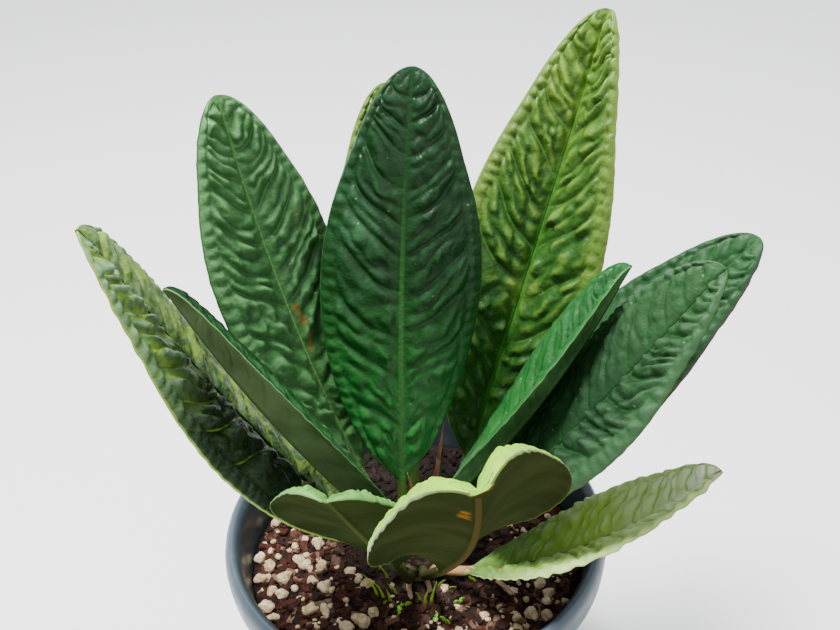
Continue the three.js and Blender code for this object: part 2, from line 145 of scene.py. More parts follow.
# A profile of radii and heights turned round the pot's axis
def turnProfile(profile, steps):
    bm = bmesh.new()
    line = [bm.verts.new((r * mm, 0, z * mm)) for r, z in profile]
    edges = [bm.edges.new(pair) for pair in zip(line, line[1:])]
    bmesh.ops.spin(bm, geom=line + edges, axis=(0, 0, 1), cent=(0, 0, 0), steps=steps,
                   angle=2 * math.pi, use_merge=True)
    return bm


# A flat grid rolled into a closed skin. place gets each point's column and row, both from 0 to 1,
# and gives its position in metres and the values that its material reads.
def rollSkin(around, along, place):
    bm = bmesh.new()
    bmesh.ops.create_grid(bm, x_segments=around, y_segments=along, size=0.5)
    flat = bpy.data.meshes.new("flat")
    bm.to_mesh(flat)
    corners = readVectors(flat.vertices, "co") + 0.5
    points, values = place(corners[:, 0], corners[:, 1])
    flat.vertices.foreach_set("co", points.ravel())
    for name, vectors in values.items():
        storeVectors(flat, name, vectors)
    bm.clear()
    bm.from_mesh(flat)
    bpy.data.meshes.remove(flat)
    bmesh.ops.remove_doubles(bm, verts=bm.verts, dist=1e-6)
    bmesh.ops.holes_fill(bm, edges=[e for e in bm.edges if e.is_boundary], sides=0)
    bmesh.ops.recalc_face_normals(bm, faces=bm.faces)
    return bm


# The pot
pot = {
    "height": 155, "rimRadius": 90, "rimTop": 87.5, "rimDepth": 17, "wall": 2, "base": 64,
    "floor": 2.4, "holeRadius": 5, "holeSides": 24, "holeCircle": 46, "holes": 6, "sides": 144,
    "sharpFrom": 50,
    "outside": "#34474a", "rim": "#43515b", "shadeAndFlowMarks": "#20292c", "dust": "#7c7d78",
    "spotSize": 9, "gritSize": 1.5, "flowSize": 40,
}
rimFoot = pot["height"] - pot["rimDepth"]
wallTop = pot["rimTop"] - 2.5


def innerWall(z):
    share = (z - pot["floor"]) / (pot["height"] - pot["floor"])
    return pot["base"] - pot["wall"] + (wallTop - pot["base"]) * share


def potMaterial():
    # Blow-moulded polypropylene, dark blue-grey: an even satin skin with a soft highlight on every
    # rounded edge, faint flow marks, dried water spots, and a painted shade on all that lies nearer the
    # axis than the inner edge of the rim.
    material, tree, shader = newMaterial("mouldedPolypropylene")
    place = addNode(tree, "TexCoord").outputs["Object"]
    height = addNode(tree, "SeparateXYZ", (place,)).outputs["Z"]
    level = addNode(tree, "VectorMath", (place, (1, 1, 0)), operation="MULTIPLY")
    radius = addNode(tree, "VectorMath", (level,), operation="LENGTH")
    flow = addNode(tree, "Mapping", {"Vector": place, "Scale": (1, 1, 14)})
    spots = addNode(tree, "TexNoise", (place, 1 / (pot["spotSize"] * mm), 5))
    grit = addNode(tree, "TexNoise", (place, 1 / (pot["gritSize"] * mm), 2))
    marks = addNode(tree, "TexNoise", (flow, 1 / (pot["flowSize"] * mm), 3))
    onRim = addNode(tree, "MapRange", (height, (rimFoot - 4) * mm, (rimFoot + 6) * mm),
                    interpolation_type="SMOOTHSTEP")
    # painted shade: all that lies nearer the axis than the rim's inner edge mostly takes the shade colour
    inside = addNode(tree, "MapRange", (radius, (pot["rimTop"] - 3.2) * mm, (pot["rimTop"] - 1.4) * mm,
                                        0.75, 0), interpolation_type="SMOOTHSTEP")
    marked = addNode(tree, "MapRange", (marks, 0.35, 0.7, 0, 0.25))
    dusty = addNode(tree, "MapRange", (spots, 0.55, 0.75, 0, 0.14))
    rough = addNode(tree, "MapRange", (spots, 0.3, 0.7, 0.28, 0.5))
    colour = overlay(tree, pot["outside"], (onRim, pot["rim"]), (inside, pot["shadeAndFlowMarks"]),
                     (marked, pot["shadeAndFlowMarks"]), (dusty, pot["dust"]))
    bump = addNode(tree, "Bump", {"Height": grit, "Strength": 0.15, "Distance": 0.1 * mm})
    setInputs(tree, shader, {"Base Color": colour, "Roughness": rough, "Normal": bump, "IOR": 1.45})
    return material


def makePot():
    height, floor = pot["height"], pot["floor"]
    rimTop, rimRadius, base = pot["rimTop"], pot["rimRadius"], pot["base"]
    profile = [
        (base - 2, 0), (base - 0.6, 0.6), (base, 2), (wallTop - 1.4, rimFoot + 1),
        (rimRadius - 2.2, rimFoot), (rimRadius - 1.2, rimFoot + 0.4), (rimRadius - 0.6, rimFoot + 2),
        (rimRadius - 0.3, rimFoot + 5), (rimRadius, height - 8), (rimRadius - 0.2, height - 5.5),
        (rimRadius - 0.8, height - 3.4), (rimTop - 0.2, height - 0.3), (rimTop - 0.9, height),
        (rimTop - 1.6, height - 0.2), (innerWall(height) + 0.8, height - 2),
        (innerWall(height - 5) + 0.2, height - 5), (innerWall(height - 8), height - 8),
        (innerWall(floor + 1), floor + 1), (innerWall(floor) - 1, floor),
    ]
    bm = turnProfile(profile, pot["sides"])
    rings = [e for e in bm.edges if e.is_boundary]
    holeRings = []
    for i in range(pot["holes"]):
        angle = (i + 0.5) * 2 * math.pi / pot["holes"]
        centre = Vector((math.cos(angle), math.sin(angle), 0)) * pot["holeCircle"] * mm
        pair = []
        for z in (0, floor):
            made = bmesh.ops.create_circle(bm, segments=pot["holeSides"], radius=pot["holeRadius"] * mm,
                                           matrix=Matrix.Translation(centre + Vector((0, 0, z * mm))))
            pair.append(list({e for v in made["verts"] for e in v.link_edges}))
        holeRings.append(pair)
    for z in (0, floor):
        level = [e for e in rings + [e for pair in holeRings for ring in pair for e in ring]
                 if all(abs(v.co.z - z * mm) < 1e-5 for v in e.verts)]
        bmesh.ops.triangle_fill(bm, use_beauty=True, edges=level, normal=(0, 0, 1))
    for low, high in holeRings:
        bmesh.ops.bridge_loops(bm, edges=low + high)
    bmesh.ops.recalc_face_normals(bm, faces=bm.faces)
    for edge in bm.edges:
        edge.smooth = edge.calc_face_angle(0) < math.radians(pot["sharpFrom"])
    piece = newPiece("nurseryPot", bm, [potMaterial()], "pot")
    print("pot", len(piece.data.polygons))


makePot()

# The potting mix. Sizes are in millimetres.
mix = {
    # the top lies this far below the rim, higher or lower at a few radii, and drops at the edge
    "belowRim": 24, "heights": ((0, 0.8), (30, 0.5), (60, -0.3)), "edgeDrop": 1.5, "gap": 0.3,
    "sides": 120, "rings": 34, "bumpHeight": 0.9, "bumpSize": 3.1, "crumbSize": 2.2, "layerSize": 0.9,
    "poreSize": 0.7,
    # what lies on it: how many shapes and pieces, their sizes, how high a piece's middle lies as a
    # share of its size, and a power over 1 where small ones are the most
    "chips": {"shapes": 9, "count": 3000, "sizes": (2.2, 7.6), "rise": (0, 0.16), "power": 1.6},
    "grains": {"shapes": 5, "count": 190, "sizes": (0.9, 2), "rise": (0.3, 1.1), "power": 1},
    "lumps": {"shapes": 6, "count": 24, "sizes": (1.8, 3.4), "rise": (0.2, 0.6), "power": 1.5},
    "chipWidth": (0.4, 0.7), "chipThickness": (0.2, 0.36), "grainWidth": (0.72, 0.95),
    "grainThickness": (0.6, 0.8), "tilt": (0.5, 0.45), "fromStem": 9.5, "fromWall": 1.2, "seed": 21,
    # the painted shade under the leaves: its centre, how far it is full and where it ends, and the strip
    # behind; then how much darker it paints the chips and how much of the pumice it leaves out
    "paintedShade": ((4, 8), 22, 58), "shadeBehind": (8, 24), "shadeBeside": (45, 65), "shadeDarkness": 0.97,
    "shadeBare": 1.15,
    "humus": "#140b07", "humusLight": "#2e1c14", "bark": "#4d2414", "barkDark": "#1c0d07",
    "barkPale": "#8c6e58", "pumice": "#dccbaa", "pumiceStainAndShade": "#a48a60",
    # grains that lie on top: x, y and size
    "onTop": [
        (-75, -11, 3.7), (-63, -12, 4), (-64, -21, 3), (-57, -1, 3.1), (-53, -5, 3.3),
        (-46, -6, 3), (-44, -19, 3.8), (-50, -15, 3), (-50, -31, 3.5), (-43, -33, 3.7),
        (-26, -39, 4.5), (-33, -42, 3.5), (-32, -10, 2.8), (-29, -15, 3.1), (-23, -19, 3),
        (-48, 8, 3.1), (-71, -4, 3), (-71, -28, 3.7), (-67, -34, 3.1), (44, -41, 3.1),
        (51, -40, 3.7), (58, -41, 3.3), (57, -23, 3.1), (59, -33, 2.8),
    ],
}
soilLevel = pot["height"] - mix["belowRim"]
soilEdge = soilLevel - mix["edgeDrop"]
soilRadius = innerWall(soilEdge) - mix["gap"]
stemFoot = np.array([2, -10, soilLevel])


def topOfMix(radius):
    radii, heights = zip(*mix["heights"])
    return np.interp(radius, [*radii, soilRadius], [*(soilLevel + h for h in heights), soilEdge])


def mixMaterial():
    # Fine humus and bark dust between the chips: dark, moist, crumbly, without gloss.
    material, tree, shader = newMaterial("moistHumus")
    place = addNode(tree, "TexCoord").outputs["Object"]
    crumbs = addNode(tree, "TexNoise", (place, 1 / (mix["crumbSize"] * mm), 4))
    light = addNode(tree, "MapRange", (crumbs, 0.4, 0.7))
    colour = overlay(tree, mix["humus"], (light, mix["humusLight"]))
    bump = addNode(tree, "Bump", {"Height": crumbs, "Distance": 1.2 * mm})
    setInputs(tree, shader, {"Base Color": colour, "Normal": bump, "Roughness": 0.85,
                             "Specular IOR Level": 0.15})
    return material


def barkMaterial():
    # Chips of composted pine bark: red-brown cork layers that split along the grain, duller and paler
    # where they have dried, and darkened towards the humus colour by painted shade under the leaves.
    material, tree, shader = newMaterial("pineBark")
    chip, tone = (addNode(tree, "Attribute", attribute_name=name).outputs["Vector"]
                  for name in ("chipPlace", "chipTone"))
    red, dryness, paintedShade = addNode(tree, "SeparateXYZ", (tone,)).outputs
    # each chip reads another part of the pattern
    place = addNode(tree, "VectorMath", (tone, (90, 90, 90), chip), operation="MULTIPLY_ADD")
    # the grain runs along the chip, in layers of about 0.4 mm
    grain = addNode(tree, "Mapping", {"Vector": place, "Scale": (0.25, 1, 2.4)})
    layers = addNode(tree, "TexNoise", (grain, 1 / mix["layerSize"], 3))
    stain = addNode(tree, "TexNoise", (place, 1 / 4, 2))
    dryOrUnshaded = addNode(tree, "MapRange", (dryness, 0.72, 1, 0, 0.8))
    streak = addNode(tree, "MapRange", (layers, 0.35, 0.65, 0, 0.55))
    rough = addNode(tree, "MapRange", (stain, 0.3, 0.7, 0.6, 0.9))
    # painted shade: chips under the leaves go darker, towards the humus colour
    colour = overlay(tree, mix["barkDark"], (red, mix["bark"]), (dryOrUnshaded, mix["barkPale"]),
                     (streak, mix["barkDark"]), (paintedShade, mix["humus"]))
    bump = addNode(tree, "Bump", {"Height": layers, "Distance": 0.6 * mm})
    setInputs(tree, shader, {"Base Color": colour, "Roughness": rough, "Normal": bump,
                             "Specular IOR Level": 0.2})
    return material


def pumiceMaterial():
    # Pumice: volcanic glass foam, chalky cream with darker stains, with open pores of about 0.7 mm
    # that are painted darker as painted shade.
    material, tree, shader = newMaterial("pumice")
    chip, tone = (addNode(tree, "Attribute", attribute_name=name).outputs["Vector"]
                  for name in ("chipPlace", "chipTone"))
    dull = addNode(tree, "SeparateXYZ", (tone,)).outputs[0]
    pores = addNode(tree, "TexVoronoi", (chip, 1 / mix["poreSize"]))
    stain = addNode(tree, "TexNoise", (chip, 1 / 2.5, 4))
    pit = addNode(tree, "MapRange", (pores, 0.1, 0.5))
    dirt = addNode(tree, "MapRange", (stain, 0.4, 0.75))
    dirt = addNode(tree, "Math", (dull, 0.45, dirt), operation="MULTIPLY_ADD")
    colour = overlay(tree, mix["pumice"], (dirt, mix["pumiceStainAndShade"]))
    # the pores take the darker colour: painted shade
    colour = overlay(tree, mix["pumiceStainAndShade"], (pit, colour))
    bump = addNode(tree, "Bump", {"Height": pit, "Strength": 0.8, "Distance": 0.4 * mm})
    setInputs(tree, shader, {"Base Color": colour, "Normal": bump, "Roughness": 0.92})
    return material


def makeMix():
    low = pot["floor"] + mix["gap"]
    rings = np.linspace(soilRadius, 0, mix["rings"])
    profile = [(0, low), (innerWall(low) - mix["gap"], low)] + [(r, float(topOfMix(r))) for r in rings]
    bm = turnProfile(profile, mix["sides"])
    bmesh.ops.remove_doubles(bm, verts=bm.verts, dist=1e-6)
    for vert in bm.verts:
        radius = math.hypot(vert.co.x, vert.co.y) / mm
        if vert.co.z > (soilEdge - 1) * mm and radius < soilRadius - 1:
            vert.co.z += mix["bumpHeight"] * noise.noise(vert.co / (mix["bumpSize"] * mm)) * mm
    bmesh.ops.recalc_face_normals(bm, faces=bm.faces)
    newPiece("mixBody", bm, [mixMaterial()], "potting_mix")
    print("potting mix")


def barkShape(draw):
    bm = bmesh.new()
    bmesh.ops.create_cube(bm, size=1)
    bmesh.ops.subdivide_edges(bm, edges=bm.edges[:], cuts=1, use_grid_fill=True)
    flat = (1, draw.uniform(*mix["chipWidth"]), draw.uniform(*mix["chipThickness"]))
    bmesh.ops.scale(bm, vec=flat, verts=bm.verts)
    for vert in bm.verts:
        corner = sum(abs(c) > 0.01 for c in vert.co) == 3
        vert.co *= draw.uniform(0.75, 0.95) if corner else draw.uniform(0.9, 1.08)
        vert.co.z += 0.05 * math.sin(4 * vert.co.x)
    return bm


def grainShape(draw, detail=2):
    bm = bmesh.new()
    bmesh.ops.create_icosphere(bm, subdivisions=detail, radius=1)
    offset = Vector((draw.uniform(0, 50), draw.uniform(0, 50), 0))
    for vert in bm.verts:
        large, small = noise.noise(vert.co * 1.1 + offset), noise.noise(vert.co * 3.5 + offset)
        vert.co *= 1 + 0.5 * large + 0.1 * small
    flat = (1, draw.uniform(*mix["grainWidth"]), draw.uniform(*mix["grainThickness"]))
    bmesh.ops.scale(bm, vec=flat, verts=bm.verts)
    return bm


def fineGrainShape(draw):
    return grainShape(draw, 3)


# How much painted shade darkens the mix: most under the leaves, behind and beside the stem
def shadeUnderLeaves(x, y):
    (centreX, centreY), near, far = mix["paintedShade"]
    around = 1 - smoothStep(near, far, math.hypot(x - centreX, y - centreY))
    behind = smoothStep(*mix["shadeBehind"], y) * (1 - smoothStep(*mix["shadeBeside"], abs(x)))
    return float(max(around, behind))


# Copies of a few shapes strewn over the mix, sunk into it, clear of the wall and of the stem
def strew(name, kind, makeShape, draw, material, smooth, given=()):
    bm = bmesh.new()
    meshes = [newMesh("shape", makeShape(draw)) for _ in range(kind["shapes"])]
    local, tones = [], []
    places = list(given)
    while len(places) < kind["count"] + len(given):
        size = between(kind["sizes"], draw.random() ** kind["power"])
        # a piece is as long as its size, so half of it and a little more stays inside the wall
        limit = innerWall(soilLevel) - mix["fromWall"] - 0.55 * size
        angle, radius = draw.uniform(0, 2 * math.pi), limit * math.sqrt(draw.random())
        x, y = radius * math.cos(angle), radius * math.sin(angle)
        # pumice is mostly left out where the painted shade lies
        dryOrUnshaded = not smooth or draw.random() > mix["shadeBare"] * shadeUnderLeaves(x, y)
        if dryOrUnshaded and math.hypot(x - stemFoot[0], y - stemFoot[1]) > mix["fromStem"]:
            places.append((x, y, size))
    for x, y, size in places:
        mesh = draw.choice(meshes).copy()
        local.append(readVectors(mesh.vertices, "co") * size)
        # the third tone is the painted shade that darkens a bark chip towards the humus colour
        tone = [draw.random(), draw.random(), mix["shadeDarkness"] * shadeUnderLeaves(x, y)]
        tones.append(np.tile(tone, (len(mesh.vertices), 1)))
        turn = Matrix.Rotation(draw.uniform(0, 2 * math.pi), 4, "Z")
        tips = [Matrix.Rotation(draw.uniform(-tilt, tilt), 4, axis) for tilt, axis in zip(mix["tilt"], "XY")]
        z = float(topOfMix(math.hypot(x, y))) + size * draw.uniform(*kind["rise"])
        place = Matrix.Translation(Vector((x, y, z)) * mm)
        mesh.transform(place @ turn @ (tips[0] @ tips[1]) @ Matrix.Scale(size * mm, 4))
        bm.from_mesh(mesh)
        bpy.data.meshes.remove(mesh)
    piece = newPiece(name, bm, [material], "potting_mix", smooth)
    storeVectors(piece.data, "chipPlace", np.vstack(local))
    storeVectors(piece.data, "chipTone", np.vstack(tones))
    print(name, len(piece.data.polygons))


draw = random.Random(mix["seed"])
makeMix()
strew("barkChips", mix["chips"], barkShape, draw, barkMaterial(), False)
pumiceFoam = pumiceMaterial()
strew("pumiceGrains", mix["grains"], grainShape, draw, pumiceFoam, True)
strew("pumiceLumps", mix["lumps"], fineGrainShape, draw, pumiceFoam, True, mix["onTop"])

# The stem, its roots and its dry sheaths, from the stem's foot
stem = {
    "radius": 8.5, "topRadius": 7, "height": 24, "sunk": 12, "rootRadius": 1.25, "fibreSize": 0.4,
    # two colours, the size of the mottles and the roughness
    "skins": {
        "stemCork": ("#6b5a42", "#32281d", 3, 0.85), "rootVelamen": ("#b39a78", "#7c6346", 4, 0.75),
        "drySheath": ("#7a3a2c", "#a8705a", 5, 0.6),
    },
    "roots": [
        [(-3.5, -6, 1.8), (-6, -11, 3.2), (-5.5, -17, 2.4), (-4, -21, -3)],
        [(1.5, -5.5, 2.5), (2.5, -10, 4), (3.5, -15, 2.4), (3, -18, -3)],
        [(5, -2, 1.8), (15, -3, 3.2), (25, -5, 2.5), (34, -10, 2.2), (41, -19, 2), (46, -27, -3)],
    ],
    "sheaths": [((0, -1, 20), (-3.5, -1, 65), 2.4), ((1, 4.5, 19), (14, 12, 84), 2.2)],
}


def woodyMaterial(name):
    # name says which: cork of the stem, the velvety skin of an aerial root, or a dry papery sheath,
    # each mottled along its length with fine fibres.
    first, second, size, rough = stem["skins"][name]
    material, tree, shader = newMaterial(name)
    place = addNode(tree, "Attribute", attribute_name="skinPlace").outputs["Vector"]
    spots = addNode(tree, "TexNoise", (place, 1 / size, 5))
    drawnOut = addNode(tree, "Mapping", {"Vector": place, "Scale": (1, 0.15, 1)})
    fibres = addNode(tree, "TexNoise", (drawnOut, 1 / stem["fibreSize"], 2))
    mottled = addNode(tree, "MapRange", (spots, 0.35, 0.65))
    bump = addNode(tree, "Bump", {"Height": fibres, "Strength": 0.7, "Distance": 0.3 * mm})
    setInputs(tree, shader, {"Base Color": overlay(tree, second, (mottled, first)), "Normal": bump,
                             "Roughness": rough})
    return material


# A tube along a smooth curve through points that are given from the stem's foot
def skinAlong(path, sides, steps, section):
    knots = np.array(path, dtype=float) + stemFoot
    knots = np.vstack([2 * knots[0] - knots[1], knots, 2 * knots[-1] - knots[-2]])

    def curve(t):
        place = np.clip(t * (len(path) - 1), 0, len(path) - 1 - 1e-6)
        first = np.floor(place).astype(int)
        f = (place - first)[:, None]
        a, b, c, d = (knots[first + i] for i in range(4))
        square, cube = 2 * a - 5 * b + 4 * c - d, 3 * b - a - 3 * c + d
        return 0.5 * (2 * b + (c - a) * f + square * f ** 2 + cube * f ** 3)

    def place(column, row):
        point = curve(row)
        along = unit(curve(np.clip(row + 0.01, 0, 1)) - curve(np.clip(row - 0.01, 0, 1)))
        side = unit(np.cross(along, [0.31, 0.95, 0.02]))  # a direction that no curve takes
        angle = 2 * np.pi * column
        wide, deep = section(row, angle)
        upward = np.cross(side, along)
        skin = point + side * (np.cos(angle) * wide)[:, None] + upward * (np.sin(angle) * deep)[:, None]
        length = np.linalg.norm(np.diff(knots[1:-1], axis=0), axis=1).sum()
        return skin * mm, {"skinPlace": np.stack([3 * np.cos(angle), row * length, 3 * np.sin(angle)], -1)}

    return rollSkin(sides, steps, place)


def makeStem():
    def body(column, row):
        z = -stem["sunk"] + row * (stem["height"] + stem["sunk"])
        angle = 2 * np.pi * column
        top, narrow = stem["height"], stem["topRadius"]
        radius = np.interp(z, [-stem["sunk"], 0, 6, 15, top - 3, top - 0.6, top],
                           [7.5, stem["radius"], stem["radius"], narrow + 0.6, narrow, 5, 0.6])
        scars = 0.35 * np.sin(z * 1.7 + 1.3 * np.sin(angle)) + 0.25 * np.sin(3 * angle + z)
        radius = radius + scars * smoothStep(0.3, 1, radius / 6)
        points = np.stack([radius * np.cos(angle), radius * np.sin(angle), z], -1) + stemFoot
        return points * mm, {"skinPlace": np.stack([8 * np.cos(angle), z, 8 * np.sin(angle)], -1)}

    cork, velamen, paper = (woodyMaterial(name) for name in stem["skins"])
    newPiece("stem", rollSkin(56, 60, body), [cork], "stem_and_roots")

    for i, path in enumerate(stem["roots"]):
        def knobbly(row, angle, turn=i):
            knobs = 0.12 * np.sin(17 * row + turn) * np.sin(angle + 9 * row)
            wide = stem["rootRadius"] * (1.1 - 0.25 * row) * (1 + knobs)
            return wide, wide
        newPiece(f"root_{i + 1}", skinAlong(path, 14, 24 * (len(path) - 1), knobbly), [velamen],
                 "stem_and_roots")

    for i, (foot, tip, radius) in enumerate(stem["sheaths"]):
        def pointed(row, angle, wide=radius):
            width = wide * np.maximum(1 - row, 0.02) ** 0.7
            return width, width * (0.35 + 0.25 * np.maximum(np.sin(angle), 0))
        middle = tuple(0.5 * (a + b) + d for a, b, d in zip(foot, tip, (1.2, -0.8, 0)))
        newPiece(f"sheath_{i + 1}", skinAlong([foot, middle, tip], 20, 40, pointed), [paper],
                 "stem_and_roots")
    print("stem, roots, sheaths")


makeStem()

# Seedlings that came up in the mix: foot, lean and height of each blade of grass, and the places of
# the sprouts with two seed leaves
seedlings = {
    "grass": [((-14, -15), (-5, -3), 16), ((-17, -10), (-6, 1), 18), ((-16, -27), (-5, -2), 18),
              ((-13, -29), (-1, -4), 16), ((-19, -25), (-6, 1), 17), ((-10, -25), (-4, -5), 16),
              ((-16, -30), (2, -4), 9), ((3, -32), (2, -3), 16), ((6, -31), (3, 1), 16),
              ((1, -30), (-2, -3), 13), ((10, -22), (3, -4), 12), ((14, -23), (4, -4), 8)],
    "width": 1.8, "thickness": 0.3, "leafWidth": 1.2, "green": "#4f9a1e", "young": "#9ec23a",
    "cotyledons": [(19, -33), (8, -41), (12, -43), (-6, -33), (-9, -36), (25, -20), (-19, -6), (-2, 14)],
}


def seedlingMaterial():
    # Soft sappy seedlings: bright fresh green, yellower towards the tips, with a silky surface.
    material, tree, shader = newMaterial("seedlingGreen")
    place = addNode(tree, "Attribute", attribute_name="skinPlace").outputs["Vector"]
    alongTip = addNode(tree, "SeparateXYZ", (place,)).outputs[1]
    spots = addNode(tree, "TexNoise", (place, 1 / 2, 3))
    spots = addNode(tree, "Math", (spots, 0.5), operation="MULTIPLY")
    yellow = addNode(tree, "Math", (alongTip, 0.07, spots), operation="MULTIPLY_ADD", use_clamp=True)
    colour = overlay(tree, seedlings["green"], (yellow, seedlings["young"]))
    setInputs(tree, shader, {"Base Color": colour, "Roughness": 0.45})
    return material


def makeSeedlings():
    fresh = seedlingMaterial()
    bm = bmesh.new()
    values, thick = [], seedlings["thickness"]

    def add(part):
        mesh = newMesh("part", part)
        bm.from_mesh(mesh)
        values.append(readVectors(mesh.attributes["skinPlace"].data, "vector"))
        bpy.data.meshes.remove(mesh)

    for foot, lean, height in seedlings["grass"]:
        start = np.array([*foot, 0.0]) - [*stemFoot[:2], 0]
        path = [start + [lean[0] * t * t, lean[1] * t * t, height * t - 1.5] for t in (0, 0.33, 0.67, 1)]
        add(skinAlong(path, 8, 16, lambda row, angle: (seedlings["width"] * (1.02 - row) ** 0.6 * 0.5,
                                                      thick * (1.02 - row) ** 0.6)))
    for i, (x, y) in enumerate(seedlings["cotyledons"]):
        start = np.array([x, y, 0.0]) - [*stemFoot[:2], 0]
        add(skinAlong([start + [0, 0, -1], start + [0.2, -0.2, 1.6], start + [0, -0.3, 3.6]], 6, 6,
                      lambda row, angle: (thick + 0 * row, thick + 0 * row)))
        for turn in (0.6 + i, 0.6 + i + 2.8):
            out = np.array([math.cos(turn), math.sin(turn), 0.0])
            path = [start + out * reach + [0, -0.3, 3.4 + rise]
                    for reach, rise in ((0, 0), (1.4, 0.6), (2.9, 0.5))]
            add(skinAlong(path, 8, 10, lambda row, angle: (
                thick / 2 + seedlings["leafWidth"] * np.sin(np.pi * np.clip(row, 0.02, 0.98)) ** 0.6,
                thick / 2 + 0 * row)))
    piece = newPiece("seedlings", bm, [fresh], "potting_mix")
    piece.data.attributes.remove(piece.data.attributes["skinPlace"])
    storeVectors(piece.data, "skinPlace", np.vstack(values))
    print("seedlings", len(piece.data.polygons))


makeSeedlings()

# The leaves. cell is the distance between a blade's points, which the two grades draw closer towards
# the midrib and the tip. mottles are the sizes and details of the patterns on it, meshSize and
# speckStep the distances of its smallest veins and of its pale specks.
blade = {
    "thickness": 0.9, "petioleRadius": 2.3, "sideVeins": 11, "crowding": 1.2, "sweep": 0.16,
    "sweepCurve": 1.3, "marginVein": 0.78, "pillow": 1.6, "wave": 1.1, "tipBend": 0.07, "ribDepth": 1.5,
    "socketReach": 5.5, "cell": 0.95, "columnGrade": 1.2, "rowGrade": 1.25, "rimStart": 0.955,
    "rimShare": 0.048, "ribHalf": 1.9,
    "mottles": ((26, 2.5), (6, 4), (2.2, 3), (0.9, 2)), "meshSize": 2.4, "speckStep": 6.5,
    "speck": "#9fb09a", "scorched": ("#8a5f1a", "#5e3212"), "scuffed": ("#5f7a48", "#7f9464"),
}

# The quilting of a blade. uneven gives the sizes of three slow waves in millimetres. wander says how
# far the side veins leave their even steps, scallop how far the margin's vein does, and marginRise
# how high the pillow is there. ripples are the steps between them at the base and at the tip, crest
# is where along a ripple its top lies, bumpStep the distance of its bumps, and smoothShare what is
# left of the ripples on a smooth half.
quilt = {
    "uneven": (6, 13, 26), "wander": (0.09, 0.05, 0.04, 0.06), "leastStep": 7, "scallop": 0.05,
    "pillowShape": 0.75, "pillowRise": 1.9, "marginRise": 0.35, "ripples": (10, 5), "crest": 0.62,
    "variants": 64, "strength": (0.65, 1.15), "bumpStep": 9, "smoothShare": 0.3, "rungStep": 5.2,
    "rungRise": 1.4, "grooveWidth": 0.025,
}

# What each kind of leaf looks like. ripples, crumple, ladder and groove are heights in millimetres,
# broken says how much a ripple breaks up into bumps, coarse scales their distances. low is the colour
# near the base, which fades out over the stretch lowPart of the length and, if lowSide isn't 0, lies
# on one side only. band is the colour beside the margin, deep that of the hollows between the bumps,
# which is painted shade on the dark and young leaves and the yellow-green of the vein net on the
# sheen ones, and blotch, if there is one, is strewn over the smooth side. sheen is a painted sheen in
# broad patches and, as strongly as crest says, a painted highlight on the crests of the bumps.
# lowSide and smoothSide name a half of the blade by its sign.
darkLook = {
    "slot": "leaf_dark", "body": "#0b2f0f", "deep": "#05150a", "low": "#16481a", "tip": "#0a2a0e",
    "band": "#0d3211", "vein": "#1a4a1e", "rib": "#2c6024", "ribWidth": 1.1, "ribTip": 0.1,
    "edge": "#2e5026", "smoothSide": 0, "under": "#2c3318", "underDeep": "#1c230f",
    "underRib": "#4a3e26", "underRelief": 0.45, "petiole": "#46601f", "lowPart": (0.08, 0.6),
    "lowSide": 0, "lowShare": 0.75, "deepFrom": -0.35, "coarse": 1, "blotch": "", "sheen": "#35603e",
    "sheenShare": 0.1, "crest": 0.1, "gloss": 0.4, "shine": 0.3, "specks": 0.25, "ribRise": 0.9,
    "ripples": 1.2, "broken": 0.6, "crumple": 0.42, "ladder": 0.8, "groove": 0.15, "net": 0.04,
    "lesions": [], "scuffs": [],
}
sheenLook = {
    **darkLook, "slot": "leaf_sheen", "body": "#2c4634", "deep": "#7c9c36", "low": "#0f1a13",
    "tip": "#4e663e", "band": "#4e6c36", "blotch": "#7c983e", "vein": "#86a23c", "rib": "#071a0a",
    "ribTip": 0.95, "edge": "#7f9c3a", "smoothSide": 1, "lowPart": (0.6, 0.85), "lowSide": -1,
    "lowShare": 0.95, "deepFrom": 0.1, "sheen": "#7f987e", "sheenShare": 0.4, "crest": 0.45,
    "shine": 0.16, "ribRise": -0.8, "ribWidth": 2.0, "ripples": 2.9, "broken": 0.85, "coarse": 1.35,
    "groove": 0.3,
}
youngLook = {
    **darkLook, "slot": "leaf_young", "body": "#264c17", "deep": "#0f2c0d", "low": "#1c4516",
    "tip": "#4f6e1f", "band": "#456220", "vein": "#456b22", "rib": "#2f6420", "ribWidth": 2.6,
    "ribTip": 0.3, "edge": "#6b7a28", "deepFrom": -0.1, "sheen": "#7d9a3e", "sheenShare": 0.05,
    "crest": 0.3, "ribRise": 0.8, "ripples": 1.9, "broken": 0.8, "coarse": 1.15, "ladder": 1.3,
    "groove": 0.25,
}

